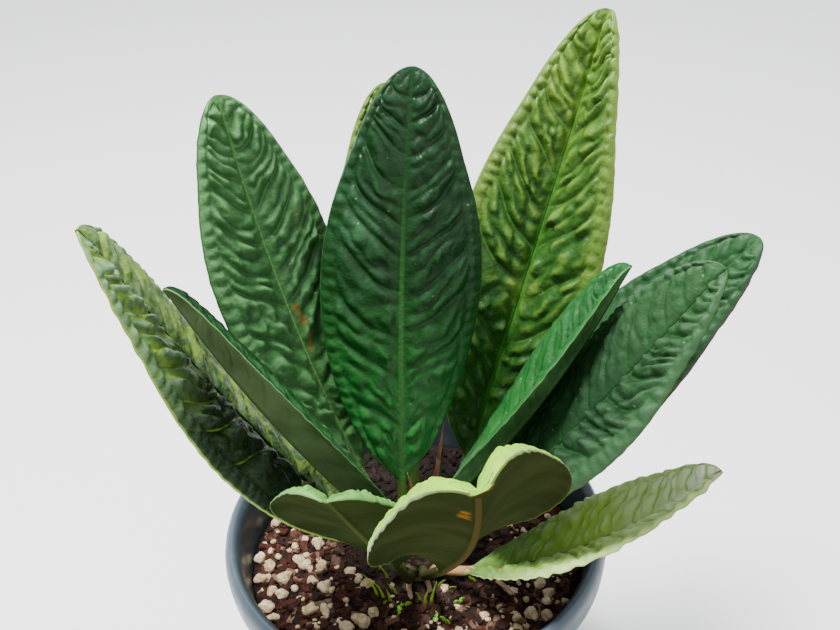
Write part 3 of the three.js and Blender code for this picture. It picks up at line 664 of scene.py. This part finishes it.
# The twelve leaves. azimuth and elevation are degrees at the petiole's root and at the tip, roll at
# the blade's base and at the tip, and bend says how late the elevation changes. fold raises both
# halves and curl bends them down again. widest is a share of the length, root the petiole's place
# from the stem's foot, and socket the angle and height of its hole in the stem.
leaves = [
    {"node": "leaf_front_centre", "azimuth": (-76.4, -95.6), "elevation": (50.2, 55.3),
     "roll": (-2.4, -25.1), "fold": 41.5, "curl": 60, "length": 243, "width": 67.6, "petiole": 55.5,
     "widest": 0.585, "bend": 1.3, "droop": 3.2, "root": (2, -15, 13), "socket": (-88, 10), "seed": 10,
     # its upper face is painted a bright yellow-green that stands in for light shining through it: painted
     # light
     "look": {**darkLook, "body": "#70a41c", "deep": "#4a781c", "tip": "#8cc028", "band": "#86b828",
              "ladder": 0.2, "ripples": 0.5, "crumple": 0.25, "petiole": "#33351c", "edge": "#4c5e28",
              "rib": "#7e9a3c", "under": "#2c321a", "underDeep": "#232913", "underRib": "#3c361c",
              "underRelief": 0.03, "ribRise": 0.4, "lesions": [(3.5, 189, 2.4), (3, 196, 1.8)]}},
    {"node": "leaf_front_left", "azimuth": (-108, -92), "elevation": (58.4, 52.5), "roll": (-3, 7),
     "fold": 18, "curl": 23, "length": 168, "width": 60, "petiole": 32, "widest": 0.54, "bend": 1.35,
     "droop": 1.6, "root": (-6, -14, 10), "socket": (-120, 6), "seed": 11,
     # its upper face is painted a light green that stands in for light shining through it: painted light
     "look": {**darkLook, "body": "#3f7a34", "tip": "#5f9440", "band": "#659c48", "edge": "#5f7e4c",
              "ladder": 0.3, "crumple": 0.25, "petiole": "#33351c", "under": "#2c341b",
              "underDeep": "#222a14", "underRib": "#3a4022", "underRelief": 0.05, "ribRise": 0.4}},
    {"node": "leaf_low_right", "azimuth": (-36, 3), "elevation": (22, 45), "roll": (7, 13), "fold": 21,
     "curl": 8, "length": 134, "width": 52, "petiole": 17, "widest": 0.52, "bend": 0.6, "droop": 0.6,
     "root": (7.5, -8, 9), "socket": (-50, 5.5), "seed": 12,
     # its pale yellow-green and near-white colours stand in for light where the leaves above shade it:
     # painted light
     "look": {**sheenLook, "petiole": "#a07a58", "body": "#a4cc54", "deep": "#96bc48", "tip": "#f6ffe0",
              "band": "#b8da74", "vein": "#a2c45a", "low": "#2c5224", "lowPart": (0.15, 0.66),
              "lowSide": 0, "lowShare": 0.8, "smoothSide": 0, "sheen": "#d2e6b0", "sheenShare": 0.1,
              "crest": 0.4, "rib": "#7a4a34", "ribWidth": 0.8, "edge": "#a8c074", "ripples": 1.0,
              "broken": 0.95, "coarse": 0.9, "crumple": 0.75, "groove": 0.1, "shine": 0.1, "blotch": "",
              "deepFrom": -0.3}},
    {"node": "leaf_right_front", "azimuth": (-25, -11), "elevation": (57, 60), "roll": (-4, -23),
     "fold": 20, "curl": 33, "length": 175, "width": 67, "petiole": 32, "widest": 0.54, "bend": 1.15,
     "droop": 0.8, "root": (10, -4.5, 14), "socket": (-20, 12), "seed": 9,
     "look": {**darkLook, "body": "#1b351e", "deep": "#061208", "tip": "#2c4e2b", "low": "#173a1b",
              "band": "#2b4c2c", "rib": "#0a260e", "ribTip": 0.9, "ribRise": -0.4, "smoothSide": -1,
              "gloss": 0.5, "crumple": 0.35, "ripples": 2.8, "broken": 0.85, "coarse": 1.15,
              "ladder": 1.2, "groove": 0.3, "crest": 0.3, "sheenShare": 0.2, "shine": 0.22,
              "sheen": "#3f5842", "deepFrom": -0.05}},
    {"node": "leaf_right_folded", "azimuth": (-4, -2), "elevation": (48, 69), "roll": (26, 4),
     "fold": 38, "curl": 23, "length": 156, "width": 50, "petiole": 12, "widest": 0.54, "bend": 1,
     "droop": 0.5, "root": (0, 1.5, 28), "socket": (150, 15), "seed": 7,
     # its low and underside colours are painted lighter where it lies in shadow: painted light
     "look": {**darkLook, "body": "#1c5522", "deep": "#0c3413", "tip": "#2b5a32", "band": "#225a28",
              "low": "#2c7430", "edge": "#3f6a3c", "under": "#567e4e", "underDeep": "#3e6238",
              "underRib": "#2c4526", "ladder": 0.3, "crumple": 0.25}},
    {"node": "leaf_right_back", "azimuth": (-8, 5), "elevation": (57, 47), "roll": (-13, -26),
     "fold": 20, "curl": 23, "length": 185, "width": 61, "petiole": 26, "widest": 0.51, "bend": 1.3,
     "droop": 0.8, "root": (10, 3, 10), "socket": (5, 6.5), "seed": 8,
     "look": {**darkLook, "body": "#224425", "deep": "#0b2211", "tip": "#2b502d", "band": "#214124",
              "edge": "#4a3030", "ripples": 2.0, "broken": 0.75, "ladder": 1.1, "groove": 0.25,
              "smoothSide": -1, "gloss": 0.5, "shine": 0.22, "deepFrom": -0.1}},
    {"node": "leaf_left_front", "azimuth": (200, 203), "elevation": (59, 69.2), "roll": (12, 15),
     "fold": 9, "curl": 37, "length": 213, "width": 70, "petiole": 28, "widest": 0.53, "bend": 0.9,
     "droop": 0.8, "root": (-8, -4, 5), "socket": (198, 3), "seed": 1,
     "look": sheenLook},
    {"node": "leaf_left_folded", "azimuth": (224, 178), "elevation": (59.5, 68), "roll": (3.2, -24.1),
     "fold": 43.2, "curl": 24, "length": 161, "width": 46.4, "petiole": 28, "widest": 0.41, "bend": 1.3,
     "droop": 0.5, "root": (-5, -7, 26), "socket": (250, 18), "seed": 2,
     "look": {**darkLook, "body": "#2a5a30", "edge": "#5c8250", "under": "#596a48",
              "underDeep": "#3a4c2e", "underRib": "#4a583c", "ladder": 0.3, "crumple": 0.25}},
    {"node": "leaf_centre", "azimuth": (81, 63), "elevation": (86, 73), "roll": (-29, -14), "fold": 4,
     "curl": 25, "length": 187, "width": 69, "petiole": 40, "widest": 0.51, "bend": 0.75, "droop": 1,
     "root": (-7, -3, 16), "socket": (185, 10), "seed": 4,
     "look": {**darkLook, "low": "#226628", "ribRise": 1.2, "ribTip": 0.05, "ribWidth": 1.6,
              "shine": 0.32}},
    {"node": "leaf_left_back", "azimuth": (170, 133), "elevation": (69, 78), "roll": (9, 9), "fold": 17,
     "curl": 21, "length": 188, "width": 63, "petiole": 48, "widest": 0.56, "bend": 1.25, "droop": 1,
     "root": (-7, 6, 6), "socket": (143, 3), "seed": 3,
     "look": {**darkLook, "body": "#2f592e", "deep": "#071f0c", "low": "#3c6a38", "tip": "#3c6636",
              "band": "#315a2e", "vein": "#44703a", "rib": "#628446", "ribWidth": 0.8, "ribTip": 0.5,
              "ripples": 1.8, "coarse": 1.15, "sheen": "#5d8a58", "sheenShare": 0.15, "ladder": 0.9,
              "crest": 0.5, "deepFrom": -0.2,
              "lesions": [(3.4, 93, 1.8), (4.2, 87, 2.2), (4, 79, 1.8), (3, 74, 1.4)],
              "scuffs": [(16.6, 132, 2.4), (17, 124, 1.8)]}},
    {"node": "leaf_tall_right", "azimuth": (41.5, 43), "elevation": (64, 66), "roll": (-43, -6),
     "fold": 31, "curl": 16, "length": 214, "width": 71, "petiole": 41, "widest": 0.48, "bend": 1.25,
     "droop": 0.8, "root": (10, 11, 9), "socket": (50, 3.5), "seed": 6,
     "look": youngLook},
    {"node": "leaf_back", "azimuth": (94, 92), "elevation": (67, 72), "roll": (-3, -2), "fold": 12,
     "curl": 25, "length": 168, "width": 60, "petiole": 48, "widest": 0.5, "bend": 1.3, "droop": 0.8,
     "root": (0, 6, 11), "socket": (98, 5), "seed": 5,
     "look": youngLook},
]


# Half width of a blade as a share of its widest, u from 0 at the base to 1 at the tip
def bladeOutline(u, widest):
    x = np.clip(u, 0, 1) ** (math.log(0.5) / math.log(widest))
    body = np.sin(np.pi * np.minimum(x, 1)) ** 0.75
    tip = 1.52 * np.sqrt(np.maximum(1 - x, 0))
    blend = smoothStep(0.12, 0.28, 1 - x)
    return tip * (1 - blend) + body * blend


# The midrib from the petiole's root to the leaf's tip: point, direction, side and upper side at t
def midribOf(leaf):
    steps = 60
    total = leaf["petiole"] + leaf["length"]

    def directionAt(t):
        azimuth = np.radians(between(leaf["azimuth"], t))
        elevation = np.radians(between(leaf["elevation"], t ** leaf["bend"]))
        along = np.stack([np.cos(elevation) * np.cos(azimuth), np.cos(elevation) * np.sin(azimuth),
                          np.sin(elevation)], -1)
        side = np.stack([np.sin(azimuth), -np.cos(azimuth), 0 * azimuth], -1)
        return along, side

    places = np.linspace(0, 1, steps + 1)
    stretch = directionAt((places[:-1] + places[1:]) / 2)[0] * total / steps
    points = np.vstack([np.zeros(3), np.cumsum(stretch, 0)]) + np.array(leaf["root"]) + stemFoot
    alongs, sides = directionAt(places)

    def at(t):
        t = np.clip(t, 0, 1)
        point, along, side = (np.stack([np.interp(t, places, line[:, i]) for i in range(3)], -1)
                              for line in (points, alongs, sides))
        along, side = unit(along), unit(side)
        return point, along, side, unit(np.cross(side, along))

    return at


# The stretch of petiole from inside the stem out to the leaf's root
def socketStations(leaf, midrib, t):
    angle, height = leaf["socket"]
    reach = blade["socketReach"]
    angle = math.radians(angle)
    inner = np.array([math.cos(angle) * reach, math.sin(angle) * reach, height]) + stemFoot
    first, along, side, _ = (row[0] for row in midrib(np.zeros(1)))
    middle = first - 3 * along
    t = t[:, None]
    point = (1 - t) ** 2 * inner + 2 * t * (1 - t) * middle + t ** 2 * first
    along = unit(2 * (1 - t) * (middle - inner) + 2 * t * (first - middle))
    side = unit(side - along * (along @ side)[:, None])
    return point, along, side, unit(np.cross(side, along))


# A gentle unevenness made of a few waves that cross in all directions, between -1 and 1
def unevenness(x, y, size, draw):
    total = np.zeros_like(x)
    for _ in range(7):
        angle, phase = draw.uniform(0, 2 * np.pi, 2)
        step = 2 * np.pi / (size * draw.uniform(0.75, 1.5))
        total = total + np.sin((x * np.cos(angle) + y * np.sin(angle)) * step + phase)
    return total / 4.5


# Which side vein is reached at s, and where on the midrib the one of a given number starts
def veinCount(s):
    return blade["sideVeins"] * s * (1 + blade["crowding"] * s) / (1 + blade["crowding"])


def veinStart(count):
    share = np.maximum(count, 0) * (1 + blade["crowding"]) / blade["sideVeins"]
    return (np.sqrt(1 + 4 * blade["crowding"] * share) - 1) / (2 * blade["crowding"])


# The quilting, in millimetres: a pillow between each two side veins with ripples that break up into
# bumps, and a ladder of small ones between the margin's vein and the margin. It also gives the
# distance in millimetres to the nearest side vein, and how high on a bump a point lies, from 0 to 1.
def quilting(leaf, s, v, x, y):
    look = leaf["look"]
    draw = np.random.default_rng(leaf["seed"])
    across = np.abs(v)
    phase = veinCount(s)
    variants, shape, rise = quilt["variants"], quilt["pillowShape"], quilt["marginRise"]
    crumple, dents, drift = (unevenness(x, y, size, draw) for size in quilt["uneven"])
    height = np.zeros_like(s)
    toVein = np.zeros_like(s)
    crown = np.zeros_like(s)
    for half in (v < 0, v >= 0):
        turns = draw.uniform(0, 2 * np.pi, 4)
        slow, quick, slant, patchy = quilt["wander"]
        p = phase + slow * np.sin(1.9 * phase + turns[0]) + quick * np.sin(4.3 * phase + turns[1])
        p = p + slant * np.sin(9 * across + 1.7 * phase + turns[2]) + patchy * drift
        cell = np.floor(p)
        interval = leaf["length"] * (veinStart(cell + 1) - veinStart(cell))
        interval = np.maximum(interval, quilt["leastStep"])
        midway = np.abs(np.sin(np.pi * p))
        # the margin's vein runs in scallops from one side vein to the next
        margin = blade["marginVein"] - quilt["scallop"] / 2 + quilt["scallop"] * midway ** 0.8
        x0 = np.clip(across / margin, 0, 1)
        inside = smoothStep(0.0, 0.22, x0) * (1 - smoothStep(0.92, 1.04, x0))
        level = rise * midway ** shape
        pillow = blade["pillow"] * quilt["pillowRise"] * x0 * np.sqrt(1 - x0)
        pillow = (pillow + rise * x0 ** 3) * midway ** shape
        # each ripple rises slowly and falls steeply towards the tip; they lie closer there
        step = look["coarse"] * between(quilt["ripples"], veinStart(cell + 0.5))
        number = np.maximum(np.round(interval / step), 1)
        turn = (p - cell) * number + 0.3 * midway * np.sin(5 * x0 + turns[3] + cell)
        turn = turn + midway * (0.35 * drift + 0.2 * crumple)
        ripple = turn - np.floor(turn)
        crest = quilt["crest"]
        ripple = np.where(ripple < crest, ripple / crest, (1 - ripple) / (1 - crest))
        ripple = np.sin(0.5 * np.pi * ripple) ** 1.1
        which = (cell * 5 + np.floor(turn) + 8).astype(int) % variants
        shift = draw.uniform(0, 1, variants)[which]
        strength = draw.uniform(*quilt["strength"], variants)[which]
        turned = np.abs(x) / quilt["bumpStep"] / look["coarse"] + shift + 0.2 * crumple
        bumps = np.abs(np.sin(np.pi * turned)) ** 0.6
        tall = np.clip(interval / number / step, 0.6, 1.15) * (0.8 + 0.05 * step / look["coarse"])
        lobed = ripple * (1 - look["broken"] * (1 - bumps))
        ribs = look["ripples"] * tall * strength * lobed * np.clip(0.8 + 0.6 * dents, 0.15, 1.3) * inside
        rugged = np.where(v * look["smoothSide"] > 0, quilt["smoothShare"], 1)
        ribs = ribs * rugged
        outer = np.clip((across - margin) / (1 - margin), 0, 1)
        rungs = np.abs(np.sin(np.pi * (y / quilt["rungStep"] + 0.4 * drift + turns[1]))) ** 0.75
        bump = np.sin(np.pi * outer) ** 0.8
        ladder = look["ladder"] * quilt["rungRise"] * rungs * strength
        wave = (0.35 * blade["wave"] * midway + ladder) * bump
        wave = wave + level * (1 - outer) ** 2
        groove = -look["groove"] * np.exp(-((across - margin) / quilt["grooveWidth"]) ** 2)
        total = np.where(across <= margin, pillow + ribs, wave) + groove
        total = total + look["crumple"] * crumple * smoothStep(0.05, 0.25, across)
        height = np.where(half, total, height)
        # how high on a bump, which the material reads for a painted highlight on the crests and, on most
        # leaves, painted shade in the hollows between them
        top = np.where(across <= margin, 0.65 + (lobed - 0.65) * inside * rugged, 0.45 + 0.55 * rungs)
        crown = np.where(half, top, crown)
        toVein = np.where(half, np.minimum(p - cell, cell + 1 - p) * interval, toVein)
    return height, toVein, crown


def growLeaf(leaf):
    look = leaf["look"]
    midrib = midribOf(leaf)
    total = leaf["petiole"] + leaf["length"]
    across = 2 * round(leaf["width"] / blade["cell"] / 2)
    around = 2 * across + 2
    rows = (5, round(leaf["petiole"] / 3), round(leaf["length"] / blade["cell"]))
    along = sum(rows)

    def place(column, row):
        c = np.round(column * around)
        onTop = (c <= across) | (c > 2 * across + 1)
        v = np.where(onTop, -1 + 2 * c / across, 1 - 2 * (c - across - 1) / across)
        v = np.where(c > 2 * across + 1, -1, v)
        v = np.sign(v) * np.abs(v) ** blade["columnGrade"]
        face = np.where(onTop, 1.0, -1.0)
        w = np.interp(np.round(row * along), [0, rows[0], rows[0] + rows[1], along], [-2, -1, 0, 1])
        s = 1 - (1 - np.clip(w, 0, 1)) ** blade["rowGrade"]

        # the petiole, round in section
        before = np.where(w < 0, (w + 1) * leaf["petiole"], leaf["petiole"] + s * leaf["length"])
        stations = midrib(before / total)
        inStem = socketStations(leaf, midrib, np.clip(w + 2, 0, 1))
        point, _, side, up = (np.where(w[:, None] < -1, a, b) for a, b in zip(inStem, stations))
        angle = np.radians(90 - 80 * v)
        radius = blade["petioleRadius"]
        stalk = point + side * (np.cos(angle) * radius)[:, None]
        stalk = stalk + up * (face * np.sin(angle) * radius)[:, None]

        # the blade
        reachShare = np.abs(v)
        u = s + blade["sweep"] * reachShare ** blade["sweepCurve"] * 4 * s * (1 - s)
        point, _, side, up = midrib((leaf["petiole"] + u * leaf["length"]) / total)
        roll = np.radians(between(leaf["roll"], u))[:, None]
        side, up = side * np.cos(roll) + up * np.sin(roll), up * np.cos(roll) - side * np.sin(roll)
        half = leaf["width"] / 2
        reach = reachShare * np.maximum(half * bladeOutline(u, leaf["widest"]), 0.4)
        fold, curl = math.radians(leaf["fold"]), math.radians(leaf["curl"])
        slope = fold - curl * reach / half
        outward = (half / curl) * (math.sin(fold) - np.sin(slope))
        rise = (half / curl) * (np.cos(slope) - math.cos(fold))
        sign = np.sign(v)
        surface = point + side * (outward * sign)[:, None] + up * rise[:, None]
        tilt = np.where(reachShare > 0, slope, 0)
        normal = up * np.cos(tilt)[:, None] - side * (np.sin(tilt) * sign)[:, None]

        fade = smoothStep(0, 0.12, u) * smoothStep(0, 0.05, 1 - u)
        swell, toVein, crown = quilting(leaf, s, v, reach * sign, u * leaf["length"])
        # the underside is smoother
        smoother = look["underRelief"] + (1 - look["underRelief"]) * smoothStep(0.85, 1, reachShare)
        swell = swell * np.where(face > 0, 1, smoother)
        edge = np.clip((reachShare - blade["marginVein"]) / (1 - blade["marginVein"]), 0, 1)
        edge = edge * smoothStep(0.1, 0.4, u)
        end = np.clip((u - 1 + blade["tipBend"]) / blade["tipBend"], 0, None)
        past = np.clip(reachShare - blade["rimStart"], 0, None) / blade["rimShare"]
        rim = np.sqrt(np.clip(1 - past ** 2, 0.1, 1))
        ribHalf = blade["ribHalf"] * (1 - 0.75 * u)
        ridge = np.exp(-(reach / ribHalf) ** 2)
        offset = swell * fade * (1 - 0.7 * ridge) + face * rim * blade["thickness"] / 2
        offset = offset - leaf["droop"] * np.minimum(np.hypot(edge ** 2, end ** 2), 1)
        ribRise = np.where(face > 0, look["ribRise"] * (1 - 0.8 * u), -blade["ribDepth"] * (1 - 0.75 * u))
        offset = offset + ribRise * ridge
        surface = surface + normal * offset[:, None]
        share = smoothStep(0, 0.06, s)[:, None]
        points = (stalk * (1 - share) + surface * share) * mm
        # no bump passes the box of the solids
        points = np.clip(points, np.array(cadBox[0]), np.array(cadBox[1]))
        lengthwise = np.where(w < 0, np.clip(w, -1, 0) * leaf["petiole"], u * leaf["length"])
        return points, {
            "bladePlace": np.stack([reach * sign, lengthwise, face], -1),
            "veinPlace": np.stack([toVein, reachShare, crown], -1),
        }

    bm = rollSkin(around, along, place)
    name = leaf["node"].replace("leaf_", "blade_")
    piece = newPiece(name, bm, [leafMaterial(leaf)], leaf["node"])
    print(name, len(piece.data.polygons))


def leafMaterial(leaf):
    # A living leaf: thick lamina under a waxy cuticle. Satin gloss on the swellings, painted shade in the
    # hollows along the side veins, a painted highlight on the crests and painted sheen in broad patches,
    # paler veins and midrib, a thin light margin, and a dull underside.
    look, length = leaf["look"], leaf["length"]
    material, tree, shader = newMaterial("waxyCuticle_" + leaf["node"].replace("leaf_", ""))
    read = []
    for name in ("bladePlace", "veinPlace"):
        vector = addNode(tree, "Attribute", attribute_name=name).outputs["Vector"]
        read += addNode(tree, "SeparateXYZ", (vector,)).outputs
    across, along, face, toVein, share, crown = read
    # each face and each leaf reads another part of the patterns
    layer = addNode(tree, "Math", (face, 40), operation="MULTIPLY")
    sheet = addNode(tree, "CombineXYZ", (across, along, layer))
    sheet = addNode(tree, "VectorMath", (sheet, (leaf["seed"] * 130, 0, 0)), operation="ADD")
    broad, patchy, wrinkles, fine = (addNode(tree, "TexNoise", (sheet, 1 / size, detail))
                                     for size, detail in blade["mottles"])
    mesh = addNode(tree, "TexVoronoi", (sheet, 1 / blade["meshSize"]), feature="DISTANCE_TO_EDGE")
    specks = addNode(tree, "TexVoronoi", (sheet, 1 / blade["speckStep"]))
    reach = addNode(tree, "Math", (across,), operation="ABSOLUTE")
    ribHalf = addNode(tree, "MapRange", (along, 0, length, look["ribWidth"], 0.3))
    overRib = addNode(tree, "Math", (reach, ribHalf), operation="SUBTRACT")
    hollow = addNode(tree, "Math", (wrinkles, 0.5, crown), operation="MULTIPLY_ADD")
    onTop = addNode(tree, "MapRange", (face, -0.3, 0.3))

    # each mask is a product of ramps: what it reads, from where to where, and its two levels
    lowStart, lowEnd = look["lowPart"]
    lowSide, smoothSide = look["lowSide"], look["smoothSide"]
    sheenLow = 0.62 - 0.3 * look["sheenShare"]
    ramps = {
        "tip": [(along, 0.5 * length, length), (broad, 0.25, 0.6, 0.45, 1)],
        "band": [(share, 0.62, 0.88), (along, 0.25 * length, 0.6 * length, 0.35, 0.9)],
        # sheen: painted sheen in patches; raised: painted shade in the hollows; crest: painted highlight
        "sheen": [(broad, sheenLow, sheenLow + 0.22, 0, 0.7)],
        "raised": [(hollow, look["deepFrom"], 0.9)],
        "crest": [(hollow, 0.85, 1.25, 0, look["crest"])],
        "low": [(along, lowStart * length, lowEnd * length, look["lowShare"], 0)],
        "net": [(mesh, 0.02, 0.14, look["net"], 0)],
        "vein": [(toVein, 0.15, 0.75, 0.7, 0), (share, 0.7, 0.8, 1, 0.1)],
        "wholeRib": [(overRib, -0.2, 0.35, 1, 0)],
        "rib": [(overRib, -0.2, 0.35, 1, 0), (along, 0.25 * length, 0.85 * length, 1, look["ribTip"])],
        "edge": [(share, 0.978, 0.994)],
        "specks": [(specks, 0.04, 0.085, look["specks"], 0)],
        "under": [(broad, 0.3, 0.7)],
        "underEdge": [(share, 0.99, 0.999)],
        "stalk": [(along, -2, 6, 1, 0)],
        "rough": [(patchy, 0.3, 0.7, look["gloss"] - 0.05, look["gloss"] + 0.12)],
        "netRelief": [(mesh, 0, 0.25, 0, 0.15)],
    }
    if lowSide:
        ramps["low"].append((across, -lowSide, lowSide))
    if look["blotch"]:
        ramps["blotch"] = [(across, -smoothSide, 3 * smoothSide), (patchy, 0.45, 0.6, 0.1, 0.7)]
    masks = {}
    for name, parts in ramps.items():
        for part in parts:
            mask = addNode(tree, "MapRange", part, interpolation_type="SMOOTHSTEP")
            if name in masks:
                mask = addNode(tree, "Math", (masks[name], mask), operation="MULTIPLY")
            masks[name] = mask

    # the upper face, from the hollows, painted shade on most leaves, up to the swellings, with painted
    # sheen and a painted highlight on the crests, and then what lies over both
    body = overlay(tree, look["body"], *((masks[name], look[name]) for name in ("tip", "band", "sheen")))
    upper = overlay(tree, look["deep"], (masks["raised"], body), (masks["crest"], look["sheen"]))
    over = [name for name in ("blotch", "low") if name in masks]
    upper = overlay(tree, upper, *((masks[name], look[name]) for name in over))
    upper = overlay(tree, upper, (masks["net"], look["vein"]), (masks["vein"], look["vein"]),
                    (masks["rib"], look["rib"]), (masks["edge"], look["edge"]),
                    (masks["specks"], blade["speck"]))
    faintVein = addNode(tree, "Math", (masks["vein"], 0.08), operation="MULTIPLY")
    lower = overlay(tree, look["underDeep"], (masks["under"], look["under"]),
                    (faintVein, look["underRib"]), (masks["wholeRib"], look["underRib"]),
                    (masks["underEdge"], look["edge"]))
    colour = overlay(tree, lower, (onTop, upper))

    # scorched spots with an orange border, and scuffs where the cuticle is rubbed dull
    halfLength = addNode(tree, "Math", (along, 0.5), operation="MULTIPLY")
    flat = addNode(tree, "CombineXYZ", (across, halfLength))
    for spots, (border, core) in ((look["lesions"], blade["scorched"]), (look["scuffs"], blade["scuffed"])):
        for x, y, size in spots:
            away = addNode(tree, "VectorMath", (flat, (x, y / 2, 0)), operation="DISTANCE")
            away = addNode(tree, "Math", (wrinkles, 1.6 * size, away), operation="MULTIPLY_ADD")
            for near, far, strong, tint in ((0.9, 1.9, 0.65, border), (0.6, 1.2, 0.7, core)):
                spot = addNode(tree, "MapRange", (away, near * size, far * size, strong, 0),
                               interpolation_type="SMOOTHSTEP")
                colour = overlay(tree, colour, (spot, tint))
    colour = overlay(tree, colour, (masks["stalk"], look["petiole"]))

    # the underside is duller and smoother
    rough, gleam, strength = (addNode(tree, "Mix", (onTop, below, above))
                              for below, above in ((0.68, masks["rough"]), (0, look["shine"]), (0.04, 0.6)))
    relief = addNode(tree, "Math", (fine, 0.35, masks["netRelief"]), operation="MULTIPLY_ADD")
    for waves, height in ((wrinkles, 2.2), (patchy, 1.4)):
        relief = addNode(tree, "Math", (waves, height, relief), operation="MULTIPLY_ADD")
    bump = addNode(tree, "Bump", {"Height": relief, "Strength": strength, "Distance": 0.3 * mm})
    setInputs(tree, shader, {"Base Color": colour, "Roughness": rough, "Specular IOR Level": gleam,
                             "Normal": bump, "IOR": 1.45})
    return material


for leaf in leaves:
    growLeaf(leaf)

# Floor, light and camera
studio = {
    "floor": "#fafaf8", "floorSize": 4, "world": 1.0, "sky": (0.93, 0.96, 1, 1), "aim": (0, 0, 0.2),
    # each lamp's place, size and power
    "lamps": {"key": ((-0.3, 0.05, 1.5), 0.35, 62), "fill": ((0.9, -1.1, 0.8), 1.0, 4)},
}


def setStage():
    bm = bmesh.new()
    bmesh.ops.create_grid(bm, x_segments=2, y_segments=2, size=studio["floorSize"])
    mesh = newMesh("floor", bm)
    floor = bpy.data.objects.new("floor", mesh)
    bpy.context.collection.objects.link(floor)
    material, tree, shader = newMaterial("paintedFloor")
    setInputs(tree, shader, {"Base Color": srgb(studio["floor"]), "Roughness": 0.9})
    mesh.materials.append(material)

    world = bpy.data.worlds.new("studio")
    world.use_nodes = True
    setInputs(world.node_tree, world.node_tree.nodes["Background"], (studio["sky"], studio["world"]))
    bpy.context.scene.world = world
    for name, (place, size, power) in studio["lamps"].items():
        light = bpy.data.lights.new(name, "AREA")
        light.size = size
        light.energy = power
        lamp = bpy.data.objects.new(name, light)
        lamp.location = place
        lamp.rotation_euler = (Vector(studio["aim"]) - Vector(place)).to_track_quat("-Z", "Y").to_euler()
        bpy.context.collection.objects.link(lamp)
    print("floor and lamps")


# The view of the photo, worked out from the ellipse of the pot's rim: its centre lies at this pixel
# of the frame and this far from the camera, in millimetres. focal is in pixels, the angles in degrees.
view = {"frame": (840, 630), "focal": 1100, "sensor": 36, "down": 35.8, "roll": -3,
        "rimPixel": (414.4, 519.2), "rimDistance": 528.6}


def setCamera():
    down, roll = math.radians(view["down"]), math.radians(view["roll"])
    ahead = Vector((0, math.cos(down), -math.sin(down)))
    right = Vector((1, 0, 0))
    up = right.cross(ahead)
    right, up = (right * math.cos(roll) + up * math.sin(roll), up * math.cos(roll) - right * math.sin(roll))
    (x, y), (wide, high) = view["rimPixel"], view["frame"]
    ray = ahead + right * ((x - wide / 2) / view["focal"]) - up * ((y - high / 2) / view["focal"])
    rimCentre = Vector((0, 0, pot["height"]))
    camera = bpy.data.cameras.new("photoView")
    camera.sensor_width = view["sensor"]
    camera.lens = view["sensor"] * view["focal"] / wide
    camera.clip_start = 0.01
    piece = bpy.data.objects.new("photoView", camera)
    piece.location = (rimCentre - ray.normalized() * view["rimDistance"]) * mm
    piece.rotation_euler = Matrix((right, up, -ahead)).transposed().to_euler()
    bpy.context.collection.objects.link(piece)
    bpy.context.scene.camera = piece
    print("camera")


setStage()
setCamera()

bpy.context.view_layer.update()
